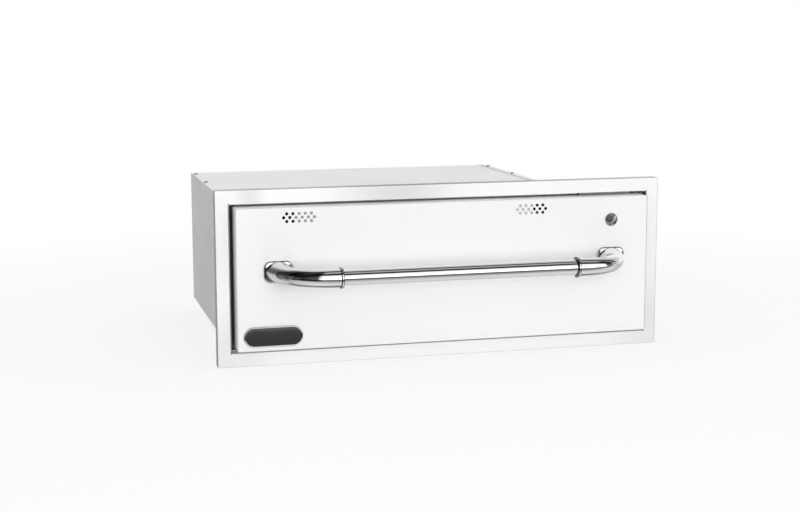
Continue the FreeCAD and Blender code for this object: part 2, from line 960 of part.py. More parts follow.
def thermal_cutout():
    """Disc thermostat screwed to the casing wall inside the control compartment."""
    disc = rod_x(cutout_y, cutout_height, control_x0, control_x0 + cutout_thickness, cutout_radius)
    half_length = cutout_ear_length / 2
    half_ear = cutout_ear_width / 2
    ears = box(
        control_x0,
        control_x0 + sheet,
        cutout_y - half_ear,
        cutout_y + half_ear,
        cutout_height - half_length,
        cutout_height + half_length,
    )
    blades = []
    for step in spaced(2, cutout_radius):
        blades.append(
            box(
                control_x0 + cutout_thickness,
                control_x0 + cutout_thickness + cutout_radius,
                cutout_y + step - sheet / 2,
                cutout_y + step + sheet / 2,
                cutout_height - cutout_blade / 2,
                cutout_height + cutout_blade / 2,
            )
        )
    return joined([disc, ears] + blades)


def terminal_block():
    """Screw terminals for the mains lead, on the back wall of the control compartment."""
    back = control_depth - sheet
    z0 = gland_height - block_rise - block_height / 2
    half = block_width / 2
    block = box(gland_x - half, gland_x + half, back - block_depth, back, z0, z0 + block_height)
    pitch = block_width / block_poles
    front = back - block_depth
    middle_y = back - block_depth / 2
    cuts = []
    for step in spaced(block_poles, pitch):
        x = gland_x + step
        cuts.append(rod_y(x, z0 + block_height / 2, front, middle_y, block_screw_radius))
        cuts.append(rod_z(x, middle_y, z0, z0 + block_height, block_hole_radius))
    for step in spaced(block_poles - 1, pitch):
        x = gland_x + step
        cuts.append(box(x - sheet, x + sheet, front, front + block_groove, z0, z0 + block_height))
    return block.cut(cuts)


def cable_gland():
    """Hollow gland with a nut on each side of the compartment's back wall."""
    inside = control_depth - sheet - gland_inside
    outside = control_depth + gland_reach
    barrel = rod_y(gland_x, gland_height, inside, outside, gland_thread_radius)
    barrel = barrel.makeFillet(sheet, edges_in_plane_y(barrel, outside))
    nuts = []
    for start in (control_depth - sheet - gland_nut + sheet, control_depth):
        corners = []
        for index in range(6):
            angle = math.radians(60 * index)
            x = gland_x + gland_nut_radius * math.cos(angle)
            z = gland_height + gland_nut_radius * math.sin(angle)
            corners.append(Vector(x, start, z))
        nut_length = gland_nut if start > control_depth - sheet else gland_nut - sheet
        nuts.append(Part.Face(Part.makePolygon(corners + corners[:1])).extrude(Vector(0, nut_length, 0)))
    bore = rod_y(gland_x, gland_height, inside, outside, gland_bore)
    return joined([barrel] + nuts).cut(bore)


# ---------------------------------------------------------------- heating


def heating_element():
    """Sheathed rod element, bent once round the cavity floor."""
    return round_bar(element_points(), element_bend, element_radius)


def element_bracket(x, y):
    """Upright with a round notch that the element lies in."""
    half = bracket_width / 2
    post = box(
        x - half,
        x + half,
        y - bracket_wall / 2,
        y + bracket_wall / 2,
        mouth_z0,
        element_height,
    )
    foot = box(x - half, x + half, y - half, y + half, mouth_z0, mouth_z0 + thin_sheet)
    return joined([post, foot])


def element_brackets():
    """Four supports under the long runs of the element."""
    left_x = mouth_x0 + element_side_gap
    right_x = mouth_x1 - element_side_gap
    span = element_back_y - element_front_y
    notch_radius = element_radius + hole_gap / 2
    solids = []
    for x in (left_x, right_x):
        for share in (0.3, 0.7):
            y = element_front_y + share * span
            notch = rod_y(x, element_height, y - bracket_width, y + bracket_width, notch_radius)
            solids.append(element_bracket(x, y).cut(notch))
    return Part.makeCompound(solids)


def element_guard():
    """Slotted plate over the element, standing on folded feet front and back."""
    x0 = mouth_x0 + guard_side_gap
    x1 = mouth_x1 - guard_side_gap
    top = box(x0, x1, guard_front_y, guard_back_y, guard_height - thin_sheet, guard_height)
    front = box(x0, x1, guard_front_y, guard_front_y + thin_sheet, mouth_z0, guard_height)
    back = box(x0, x1, guard_back_y - thin_sheet, guard_back_y, mouth_z0, guard_height)
    slots = []
    pitch = (x1 - x0 - 2 * guard_slot_margin) / (guard_slot_count - 1)
    middle = (x0 + x1) / 2
    half = guard_slot_width / 2
    for step in spaced(guard_slot_count, pitch):
        slots.append(
            rounded_slab_z(
                middle + step - half,
                middle + step + half,
                guard_front_y + guard_slot_margin,
                guard_back_y - guard_slot_margin,
                half * 0.98,
                guard_height - 2 * thin_sheet,
                guard_height + thin_sheet,
            )
        )
    return joined([top, front, back]).cut(slots)


# ---------------------------------------------------------------- slides


def slide_bar(wall_x, inward, from_wall, to_wall, z_low, z_high, y0, y1):
    """Straight bar of a slide section, measured from the liner wall."""
    near = wall_x + inward * from_wall
    far = wall_x + inward * to_wall
    return box(
        min(near, far),
        max(near, far),
        y0,
        y1,
        slide_axis_height + z_low,
        slide_axis_height + z_high,
    )


def slide_outer(wall_x, inward):
    """Channel fixed to the liner."""
    y0 = slide_front
    y1 = slide_front + slide_length
    half = outer_half_height
    lip = half - slide_sheet
    bars = [
        slide_bar(wall_x, inward, 0, slide_sheet, -half, half, y0, y1),
        slide_bar(wall_x, inward, 0, outer_lip_reach, lip, half, y0, y1),
        slide_bar(wall_x, inward, 0, outer_lip_reach, -half, -lip, y0, y1),
    ]
    return joined(bars).cut(rivet_pockets(wall_x, inward))


def slide_middle(wall_x, inward):
    """Middle member, an I section that runs between the two rows of balls."""
    y0 = slide_front
    y1 = slide_front + slide_length
    half = middle_half_height
    lip = half - slide_sheet
    web_end = middle_web_at + middle_web
    bars = [
        slide_bar(wall_x, inward, middle_web_at, web_end, -half, half, y0, y1),
        slide_bar(wall_x, inward, middle_from_wall, middle_reach, lip, half, y0, y1),
        slide_bar(wall_x, inward, middle_from_wall, middle_reach, -half, -lip, y0, y1),
    ]
    return joined(bars)


def slide_inner(wall_x, inward):
    """Narrow channel fixed to the drawer rail."""
    y0 = slide_front
    y1 = slide_front + slide_length
    half = inner_half_height
    lip = half - slide_sheet
    web_start = slide_thickness - slide_sheet
    bars = [
        slide_bar(wall_x, inward, web_start, slide_thickness, -half, half, y0, y1),
        slide_bar(wall_x, inward, inner_lip_start, slide_thickness, lip, half, y0, y1),
        slide_bar(wall_x, inward, inner_lip_start, slide_thickness, -half, -lip, y0, y1),
    ]
    return joined(bars)


def ball_cage(wall_x, inward, cage_at, ball_at, ball_level, ball_radius):
    """Folded retainer strip with a row of balls above and below."""
    y0 = slide_front + cage_from_front
    y1 = y0 + cage_length
    half_arm = cage_sheet / 2
    top = ball_level + half_arm
    arm_end = ball_at + ball_radius * 0.9
    parts = [
        slide_bar(wall_x, inward, cage_at, cage_at + cage_sheet, -top, top, y0, y1),
        slide_bar(wall_x, inward, cage_at, arm_end, ball_level - half_arm, top, y0, y1),
        slide_bar(wall_x, inward, cage_at, arm_end, -top, -ball_level + half_arm, y0, y1),
    ]
    middle_y = (y0 + y1) / 2
    for side in (-1, 1):
        z = slide_axis_height + side * ball_level
        for step in spaced(ball_count, ball_spacing):
            centre = Vector(wall_x + inward * ball_at, middle_y + step, z)
            parts.append(Part.makeSphere(ball_radius, centre))
    return joined(parts)


def outer_ball_cages():
    level = (outer_half_height - slide_sheet + middle_half_height) / 2
    left = ball_cage(left_wall, 1, outer_cage_at, outer_ball_at, level, outer_ball_radius)
    right = ball_cage(right_wall, -1, outer_cage_at, outer_ball_at, level, outer_ball_radius)
    return Part.makeCompound([left, right])


def inner_ball_cages():
    level = (middle_half_height - slide_sheet + inner_half_height) / 2
    left = ball_cage(left_wall, 1, inner_cage_at, inner_ball_at, level, inner_ball_radius)
    right = ball_cage(right_wall, -1, inner_cage_at, inner_ball_at, level, inner_ball_radius)
    return Part.makeCompound([left, right])


def slide_rivets():
    solids = []
    for y in rivet_places():
        solids.append(rivet(left_wall, 1, y))
        solids.append(rivet(right_wall, -1, y))
    return Part.makeCompound(solids)


# ---------------------------------------------------------------- drawer box


def drawer_rail(inner_x, inward):
    """Side rail: upright web, ledge for the pan and a foot welded to the inner pan."""
    web_far = inner_x + inward * rail_sheet
    ledge_far = web_far + inward * rail_ledge
    foot_far = web_far + inward * rail_foot
    web = box(
        min(inner_x, web_far), max(inner_x, web_far), plug_back, rail_back, rail_bottom, rail_top
    )
    ledge = box(
        min(inner_x, ledge_far),
        max(inner_x, ledge_far),
        plug_back,
        rail_back,
        rail_top - rail_sheet,
        rail_top,
    )
    foot = box(
        min(inner_x, foot_far),
        max(inner_x, foot_far),
        plug_back,
        plug_back + rail_sheet,
        rail_bottom,
        rail_top,
    )
    return joined([web, ledge, foot])


def drawer_rear_rail():
    """Cross rail that ties the two side rails together behind the pan."""
    x0 = rail_x0 + rail_sheet
    x1 = rail_x1 - rail_sheet
    web = box(x0, x1, rail_back - rail_sheet, rail_back, rail_bottom, rail_top - rail_sheet)
    lip = box(
        x0, x1, rail_back - rail_foot, rail_back, rail_bottom, rail_bottom + rail_sheet
    )
    return joined([web, lip])


def drawer_pan():
    """Lift-out pan whose rim rests on the ledges of the rails."""
    x0 = rail_x0 + rail_sheet + rail_ledge + pan_wall_gap
    x1 = rail_x1 - rail_sheet - rail_ledge - pan_wall_gap
    y0 = plug_back + pan_front_gap + pan_rim
    y1 = rail_back - rail_foot - pan_wall_gap
    z1 = rail_top + pan_sheet
    z0 = z1 - pan_depth
    outer = rounded_slab_z(x0, x1, y0, y1, pan_corner, z0, z1)
    outer = outer.makeFillet(pan_fillet, edges_in_plane_z(outer, z0))
    inner_corner = pan_corner - pan_sheet
    inner = rounded_slab_z(
        x0 + pan_sheet, x1 - pan_sheet, y0 + pan_sheet, y1 - pan_sheet, inner_corner, z0 + pan_sheet, z1
    )
    inner = inner.makeFillet(pan_fillet - pan_sheet, edges_in_plane_z(inner, z0 + pan_sheet))
    rim_x = rail_ledge + pan_wall_gap - pan_rim_gap
    rim = rounded_slab_z(
        x0 - rim_x,
        x1 + rim_x,
        y0 - pan_rim,
        y1 + pan_rim,
        pan_corner + pan_rim,
        z1 - pan_sheet,
        z1,
    )
    return joined([outer, rim]).cut(inner)


# ---------------------------------------------------------------- drawer front


def vent_holes(centre_x):
    holes = []
    for row in (-1, 0, 1):
        count = vent_long_row if row == 0 else vent_long_row - 1
        for step in spaced(count, vent_spacing):
            z = vent_height + row * vent_row_rise
            holes.append(rod_y(centre_x + step, z, face_y - sheet, skin_back + sheet, vent_hole_radius))
    return holes


def handle_base_places():
    return (-handle_base_x, handle_base_x)


def drawer_front():
    """Box-folded front skin with returns on all four sides."""
    inner_corner = max(front_corner - sheet, front_edge / 2)
    block = rounded_slab_y(
        -front_x, front_x, front_z0, front_z1, front_corner, face_y, front_rear
    )
    block = block.makeFillet(front_edge, edges_in_plane_y(block, face_y))
    hollow = rounded_slab_y(
        -front_x + sheet,
        front_x - sheet,
        front_z0 + sheet,
        front_z1 - sheet,
        inner_corner,
        skin_back,
        front_rear - sheet,
    )
    rear = box(
        -front_x + front_flange,
        front_x - front_flange,
        skin_back,
        front_rear,
        front_z0 + front_flange,
        front_z1 - front_flange,
    )
    holes = vent_holes(vent_left_x) + vent_holes(vent_right_x)
    holes.append(rod_y(lamp_x, lamp_height, face_y, skin_back, bezel_tube_radius + shaft_gap))
    for x in handle_base_places():
        holes.append(rod_y(x, handle_height, face_y, skin_back, handle_screw_radius + hole_gap))
    return block.cut([hollow, rear] + holes)


def vent_windows():
    windows = []
    for x0, x1 in ((left_duct_x0, left_duct_x1), (right_duct_x0, right_duct_x1)):
        windows.append(box(x0, x1, plug_wall_y, plug_back, duct_z0, window_z1))
    return windows


def front_inner_pan():
    """Rear cover of the drawer front, with the plug that closes the cavity mouth."""
    plate = rounded_slab_y(
        -front_x + inner_pan_inset,
        front_x - inner_pan_inset,
        front_z0 + inner_pan_inset,
        front_z1 - inner_pan_inset,
        front_corner,
        front_rear,
        pan_plate_back,
    )
    plug = box(plug_x0, plug_x1, front_rear, plug_back, plug_z0, plug_z1)
    inside = box(
        plug_x0 + thin_sheet,
        plug_x1 - thin_sheet,
        front_rear,
        plug_wall_y,
        plug_z0 + thin_sheet,
        plug_z1 - thin_sheet,
    )
    sight_hole = rod_y(lamp_x, lamp_height, front_rear, pan_plate_back, bezel_bore)
    return joined([plate, plug]).cut([inside, sight_hole] + vent_windows())


def front_insulation():
    """Blanket inside the drawer front."""
    flange_back = front_rear - sheet
    wide = box(
        -front_x + sheet,
        front_x - sheet,
        skin_back,
        flange_back,
        front_z0 + sheet,
        front_z1 - sheet,
    )
    corner = [edge for edge in wide.Edges if edge.BoundBox.YLength > front_return / 2]
    wide = wide.makeFillet(front_corner, corner)
    deep = box(
        plug_x0 + thin_sheet,
        plug_x1 - thin_sheet,
        skin_back,
        plug_wall_y,
        max(plug_z0 + thin_sheet, front_z0 + front_flange),
        min(plug_z1 - thin_sheet, front_z1 - front_flange),
    )
    cuts = []
    for x0, x1 in ((left_duct_x0, left_duct_x1), (right_duct_x0, right_duct_x1)):
        cuts.append(
            box(
                x0 - thin_sheet,
                x1 + thin_sheet,
                skin_back,
                plug_wall_y,
                duct_z0 - thin_sheet,
                duct_z1 + thin_sheet,
            )
        )
    cuts.append(rod_y(lamp_x, lamp_height, skin_back, front_rear, bezel_tube_radius + hole_gap))
    head_back = skin_back + handle_screw_head + hole_gap
    for x in handle_base_places():
        cuts.append(
            rod_y(x, handle_height, skin_back, head_back, handle_screw_head_radius + hole_gap)
        )
    return joined([wide, deep]).cut(cuts)


def vent_ducts():
    """Two flat ducts from the vent holes to the cavity; the shutters slide inside them."""
    ducts = []
    for x0, x1 in ((left_duct_x0, left_duct_x1), (right_duct_x0, right_duct_x1)):
        outer = box(
            x0 - thin_sheet,
            x1 + thin_sheet,
            skin_back,
            plug_wall_y,
            duct_z0 - thin_sheet,
            duct_z1 + thin_sheet,
        )
        ducts.append(outer.cut(box(x0, x1, skin_back, plug_wall_y, duct_z0, duct_z1)))
    return Part.makeCompound(ducts)


def vent_shutter(plate_x0, stem_x0):
    """Sliding plate behind the vent holes with a finger tab inside the cavity mouth."""
    plate_front = skin_back + slide_gap
    plate_back = plate_front + thin_sheet
    plate = box(
        plate_x0,
        plate_x0 + shutter_length,
        plate_front,
        plate_back,
        duct_z0 + slide_gap,
        duct_z1 - slide_gap,
    )
    tab_back = plug_back + tab_behind + thin_sheet
    stem_z = (duct_z0 + window_z1) / 2
    stem = box(
        stem_x0,
        stem_x0 + stem_width,
        plate_front,
        tab_back,
        stem_z - thin_sheet / 2,
        stem_z + thin_sheet / 2,
    )
    tab = box(
        stem_x0,
        stem_x0 + stem_width,
        tab_back - thin_sheet,
        tab_back,
        stem_z - tab_height / 2,
        stem_z + tab_height / 2,
    )
    return joined([plate, stem, tab])


def left_vent_shutter():
    stem_x0 = left_shutter_x0 + shutter_length - stem_inset - stem_width
    return vent_shutter(left_shutter_x0, stem_x0)


def right_vent_shutter():
    plate_x0 = right_shutter_x1 - shutter_length
    return vent_shutter(plate_x0, plate_x0 + stem_inset)


def lamp_bezel():
    """Polished ring and sight tube through the drawer front."""
    ring = rod_y(lamp_x, lamp_height, face_y - bezel_height, face_y, bezel_radius)
    ring = ring.makeFillet(bezel_height * 0.6, edges_in_plane_y(ring, face_y - bezel_height))
    tube = rod_y(lamp_x, lamp_height, face_y - bezel_height / 2, front_rear, bezel_tube_radius)
    bore = rod_y(lamp_x, lamp_height, face_y - bezel_height, front_rear, bezel_bore)
    return joined([ring, tube]).cut(bore)


def lamp_lens():
    """Smoked lens recessed in the bezel."""
    front = face_y - bezel_height + lens_recess
    lens = rod_y(lamp_x, lamp_height, front, front + lens_thickness, bezel_bore - shaft_gap)
    return lens.makeFillet(lens_thickness / 4, edges_in_plane_y(lens, front))


def stadium(length, width, y0, y1):
    """Plate with half-round ends on the badge's centre."""
    radius = width / 2
    straight = length - width
    middle = box(
        badge_x - straight / 2,
        badge_x + straight / 2,
        y0,
        y1,
        badge_height - radius,
        badge_height + radius,
    )
    ends = [rod_y(badge_x + side * straight / 2, badge_height, y0, y1, radius) for side in (-1, 1)]
    return joined([middle] + ends)


def badge_rim():
    """Bright rim of the blank badge."""
    front = face_y - badge_rim_thickness
    outer = stadium(badge_length, badge_width, front, face_y)
    outer = outer.makeFillet(badge_rim_thickness / 3, edges_in_plane_y(outer, front))
    inner_length = badge_length - 2 * badge_rim_width
    inner_width = badge_width - 2 * badge_rim_width
    return outer.cut(stadium(inner_length, inner_width, front, face_y))


def badge_plate():
    """Blank dark plate inside the rim."""
    inner_length = badge_length - 2 * badge_rim_width - 2 * shaft_gap
    inner_width = badge_width - 2 * badge_rim_width - 2 * shaft_gap
    return stadium(inner_length, inner_width, face_y - badge_plate_thickness, face_y)


# ---------------------------------------------------------------- handle


def handle_bases():
    """Oval-cornered feet of the handle on the drawer's face."""
    solids = []
    for x in handle_base_places():
        foot = rounded_slab_y(
            x - base_length / 2,
            x + base_length / 2,
            handle_height - base_width / 2,
            handle_height + base_width / 2,
            base_corner,
            base_front,
            face_y,
        )
        foot = foot.makeFillet(base_edge, edges_in_plane_y(foot, base_front))
        hole = rod_y(x, handle_height, base_front, face_y, handle_screw_radius + hole_gap)
        solids.append(foot.cut(hole))
    return Part.makeCompound(solids)


def elbow_oval(x, y, turn, run, remaining):
    """Section of an elbow, broad at the foot, slim along the bend and wider at the mouth."""
    root = max(0.0, 1 - run / elbow_root_run) ** elbow_root_ease
    mouth = max(0.0, 1 - remaining / elbow_mouth_run)
    waist = elbow_waist_radius + (elbow_mouth_radius - elbow_waist_radius) * mouth
    half_width = waist + (elbow_root_width / 2 - elbow_waist_radius) * root
    half_height = waist + (elbow_root_height / 2 - elbow_waist_radius) * root
    oval = Part.Ellipse(Vector(0, 0, 0), half_width, half_height).toShape()
    upright = FreeCAD.Rotation(ALONG_X, 90)
    turned = FreeCAD.Rotation(ALONG_Z, -turn)
    oval.Placement = FreeCAD.Placement(Vector(x, y, handle_height), turned * upright)
    return Part.Wire([oval])


def handle_elbow(end_x):
    """Polished bend from the foot at the right to the bar."""
    straight = base_front - elbow_axis_y - elbow_bend
    bend_end_x = handle_base_x - elbow_bend
    length = straight + elbow_bend * math.pi / 2 + bend_end_x - end_x
    ovals = [elbow_oval(handle_base_x, base_front, 0, 0, length)]
    for index in range(elbow_sections + 1):
        turn = 90 * index / elbow_sections
        angle = math.radians(turn)
        x = handle_base_x - elbow_bend * (1 - math.cos(angle))
        y = elbow_axis_y + elbow_bend * (1 - math.sin(angle))
        run = straight + elbow_bend * angle
        ovals.append(elbow_oval(x, y, turn, run, length - run))
    ovals.append(elbow_oval(end_x, elbow_axis_y, 90, length, 0))
    elbow = Part.makeLoft(ovals, True, False)
    socket_end = end_x + elbow_socket
    socket_radius = handle_bar_radius + socket_gap
    socket = rod_x(elbow_axis_y, handle_height, end_x, socket_end, socket_radius)
    thread_end = skin_back - handle_screw_grip - hole_gap
    thread_radius = handle_screw_radius + hole_gap
    thread = rod_y(handle_base_x, handle_height, thread_end, base_front, thread_radius)
    return elbow.cut([socket, thread])


def left_handle_elbow():
    return mirrored(handle_elbow(handle_bar_reach - handle_bar_centre_x), 0)


def right_handle_elbow():
    return handle_elbow(handle_bar_reach + handle_bar_centre_x)


def handle_bar():
    half_length = handle_bar_reach + elbow_socket - socket_gap
    start = handle_bar_centre_x - half_length
    end = handle_bar_centre_x + half_length
    return rod_x(elbow_axis_y, handle_height, start, end, handle_bar_radius)


def handle_collars():
    """Rings that cover the two joints between bar and elbows."""
    left_start = handle_bar_centre_x - handle_bar_reach
    right_start = handle_bar_centre_x + handle_bar_reach - collar_length
    solids = []
    for x0 in (left_start, right_start):
        ring = rod_x(elbow_axis_y, handle_height, x0, x0 + collar_length, collar_radius)
        ring = ring.makeFillet(collar_length / 4, ring.Edges[:])
        bore_radius = handle_bar_radius + socket_gap
        bore = rod_x(elbow_axis_y, handle_height, x0, x0 + collar_length, bore_radius)
        solids.append(ring.cut(bore))
    return Part.makeCompound(solids)


def handle_screws():
    """One screw from inside the front through each foot into its elbow."""
    solids = []
    for x in handle_base_places():
        head = rod_y(x, handle_height, skin_back, skin_back + handle_screw_head, handle_screw_head_radius)
        shank = rod_y(x, handle_height, skin_back - handle_screw_grip, skin_back, handle_screw_radius)
        solids.append(joined([head, shank]))
    return Part.makeCompound(solids)


# ---------------------------------------------------------------- the whole drawer

pieces = {
    "trim_frame": trim_frame(),
    "mounting_flange": mounting_flange(),
    "casing_top": casing_panel(casing_in_z, panel_z),
    "casing_bottom": casing_panel(-panel_z, -casing_in_z),
    "casing_left_side": casing_left_side(),
    "casing_right_side": casing_right_side(),
    "casing_back": casing_back(),
    "casing_screws": casing_screws(),
    "face_plate": face_plate(),
    "mouth_gasket": mouth_gasket(),
    "cavity_liner": cavity_liner(),
    "insulation_left": insulation_side(casing_in_x0, liner_x0),
    "insulation_right": insulation_side(liner_x1, casing_in_x1),
    "insulation_top": insulation_level(liner_z1, casing_in_z),
    "insulation_bottom": insulation_level(-casing_in_z, liner_z0),
    "insulation_back": insulation_back(),
    "heating_element": heating_element(),
    "element_brackets": element_brackets(),
    "element_guard": element_guard(),
    "control_box": control_box(),
    "control_box_back": control_box_back(),
    "control_panel": control_panel(),
    "control_screws": control_screws(),
    "indicator_lamp": indicator_lamp(),
    "thermostat_body": thermostat_body(),
    "thermostat_sensor": thermostat_sensor(),
    "thermostat_shaft": thermostat_shaft(),
    "thermostat_knob": thermostat_knob(),
    "thermal_cutout": thermal_cutout(),
    "terminal_block": terminal_block(),
    "cable_gland": cable_gland(),
    "left_slide_outer": slide_outer(left_wall, 1),
    "right_slide_outer": slide_outer(right_wall, -1),
    "left_slide_middle": slide_middle(left_wall, 1),
    "right_slide_middle": slide_middle(right_wall, -1),
    "left_slide_inner": slide_inner(left_wall, 1),
    "right_slide_inner": slide_inner(right_wall, -1),
    "outer_ball_cages": outer_ball_cages(),
    "inner_ball_cages": inner_ball_cages(),
    "slide_rivets": slide_rivets(),
    "left_drawer_rail": drawer_rail(rail_x0, 1),
    "right_drawer_rail": drawer_rail(rail_x1, -1),
    "drawer_rear_rail": drawer_rear_rail(),
    "drawer_pan": drawer_pan(),
    "drawer_front": drawer_front(),
    "front_inner_pan": front_inner_pan(),
    "front_insulation": front_insulation(),
    "vent_ducts": vent_ducts(),
    "left_vent_shutter": left_vent_shutter(),
    "right_vent_shutter": right_vent_shutter(),
    "lamp_bezel": lamp_bezel(),
    "lamp_lens": lamp_lens(),
    "badge_rim": badge_rim(),
    "badge_plate": badge_plate(),
    "handle_bases": handle_bases(),
    "left_handle_elbow": left_handle_elbow(),
    "right_handle_elbow": right_handle_elbow(),
    "handle_bar": handle_bar(),
    "handle_collars": handle_collars(),
    "handle_screws": handle_screws(),
}

os.makedirs("parts", exist_ok=True)
for name, shape in pieces.items():
    shape.exportStep("parts/" + name + ".step")
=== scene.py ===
"""Finishes, detailed pieces and studio for a built-in warming drawer, laid out as an add-on.

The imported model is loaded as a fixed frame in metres, with X to the right, Y to the back and
Z up. Every piece made here takes its place from a node of that frame.
"""

import math

import bmesh
import bpy
from mathutils import Matrix, Vector, noise


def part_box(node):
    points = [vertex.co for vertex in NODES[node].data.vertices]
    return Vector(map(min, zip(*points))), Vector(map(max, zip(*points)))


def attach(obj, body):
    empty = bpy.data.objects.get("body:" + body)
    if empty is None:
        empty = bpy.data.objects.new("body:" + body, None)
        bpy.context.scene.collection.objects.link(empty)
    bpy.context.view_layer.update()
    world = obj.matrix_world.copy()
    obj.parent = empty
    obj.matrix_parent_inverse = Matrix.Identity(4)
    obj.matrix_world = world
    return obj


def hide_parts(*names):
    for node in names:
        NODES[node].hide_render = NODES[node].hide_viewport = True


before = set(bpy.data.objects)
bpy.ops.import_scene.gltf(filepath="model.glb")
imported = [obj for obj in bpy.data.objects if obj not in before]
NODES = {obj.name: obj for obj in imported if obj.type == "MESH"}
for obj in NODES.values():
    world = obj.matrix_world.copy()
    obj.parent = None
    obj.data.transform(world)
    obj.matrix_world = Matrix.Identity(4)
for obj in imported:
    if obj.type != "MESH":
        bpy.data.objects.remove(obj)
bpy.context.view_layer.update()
FLOOR_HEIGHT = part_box("trim_frame")[0].z
X_AXIS, Y_AXIS, Z_AXIS = 0, 1, 2
OUT_FRONT = Vector((0, -1, 0))
OUT_BACK = Vector((0, 1, 0))
UPWARD = Vector((0, 0, 1))
MERGE_DISTANCE = 0.000001

bl_info = {
    "name": "Warming Drawer Finishes",
    "version": (1, 0, 0),
    "blender": (4, 5, 0),
    "location": "3D View > Sidebar > Warming Drawer",
    "description": "Finishes, detailed pieces and studio for a built-in warming drawer",
    "category": "Object",
}


# ---------------------------------------------------------------- what a user can change


def colour_property(name, description, default):
    return bpy.props.FloatVectorProperty(
        name=name, description=description, subtype="COLOR", size=3, min=0, max=1, default=default
    )


def length_property(name, description, default):
    return bpy.props.FloatProperty(
        name=name, description=description, subtype="DISTANCE", unit="LENGTH", min=0, default=default
    )


def share_property(name, description, default):
    return bpy.props.FloatProperty(
        name=name, description=description, subtype="FACTOR", min=0, max=1, default=default
    )


def angle_property(name, description, default):
    return bpy.props.FloatProperty(
        name=name,
        description=description,
        subtype="ANGLE",
        unit="ROTATION",
        default=math.radians(default),
    )


class WarmingDrawerColours(bpy.types.PropertyGroup):
    """Colours and polish of the finishes."""

    front_steel: colour_property("Front steel", "Brushed steel of the drawer front", (0.92, 0.92, 0.92))
    trim_steel: colour_property("Trim steel", "Brushed steel of the trim frame", (0.92, 0.92, 0.92))
    casing_steel: colour_property("Casing steel", "Mill-finish steel of the casing", (0.86, 0.86, 0.86))
    liner_steel: colour_property("Liner steel", "Plain steel of cavity and drawer box", (0.74, 0.74, 0.74))
    polished_steel: colour_property("Polished steel", "Handle tube and badge rim", (0.90, 0.90, 0.905))
    foot_steel: colour_property("Foot steel", "Feet of the handle", (0.60, 0.60, 0.605))
    # Painted dark reflection on the rounded ends of the handle's collars.
    collar_steel: colour_property("Collar steel", "Dark edges of the handle's collars", (0.10, 0.10, 0.105))
    bezel_steel: colour_property("Bezel steel", "Ring and sight tube of the pilot lamp", (0.80, 0.80, 0.805))
    # Face steel is darker than the liner as painted shade in the gaps round the drawer front.
    face_steel: colour_property("Face steel", "Heat-dulled face round the cavity", (0.50, 0.50, 0.50))
    zinc: colour_property("Zinc", "Bright zinc plate of the slides", (0.66, 0.68, 0.71))
    zinc_tint: colour_property("Zinc tint", "Faint yellow cast in the zinc plate", (0.70, 0.67, 0.58))
    screw_steel: colour_property("Screw steel", "Machined steel of the screws", (0.66, 0.66, 0.67))
    sheath: colour_property("Element sheath", "Heat-darkened sheath of the element", (0.20, 0.17, 0.15))
    sheath_blue: colour_property("Sheath tint", "Blue temper colour on the element", (0.13, 0.15, 0.22))
    copper: colour_property("Copper", "Sensor bulb and capillary", (0.78, 0.45, 0.31))
    enamel: colour_property("Badge enamel", "Blank dark field of the badge", (0.018, 0.018, 0.020))
    lens: colour_property("Lens", "Smoked lens of the pilot lamp", (0.06, 0.06, 0.063))
    amber: colour_property("Amber", "Nose of the pilot lamp", (0.75, 0.25, 0.06))
    phenolic: colour_property("Phenolic", "Moulded knob", (0.022, 0.022, 0.024))
    print_ink: colour_property("Print", "Dial print on the control panel", (0.03, 0.03, 0.03))
    pointer_ink: colour_property("Pointer", "Line inlaid in the knob", (0.85, 0.85, 0.82))
    nylon: colour_property("Nylon", "Terminal block", (0.80, 0.78, 0.72))
    black_nylon: colour_property("Black nylon", "Cable gland", (0.035, 0.035, 0.035))
    rubber: colour_property("Rubber", "Seal round the cavity mouth", (0.045, 0.045, 0.048))
    glass_wool: colour_property("Glass wool", "Insulation blankets", (0.80, 0.70, 0.42))
    front_roughness: share_property("Front roughness", "Roughness of the brushed front", 0.42)
    front_metal: share_property("Front metal", "Metallic share of the brushed front", 0.44)
    trim_roughness: share_property("Trim roughness", "Roughness of the trim frame", 0.34)
    trim_metal: share_property("Trim metal", "Metallic share of the trim frame", 0.42)
    casing_roughness: share_property("Casing roughness", "Roughness of the mill finish", 0.36)
    polish_roughness: share_property("Polish roughness", "Roughness of the polished tube", 0.045)


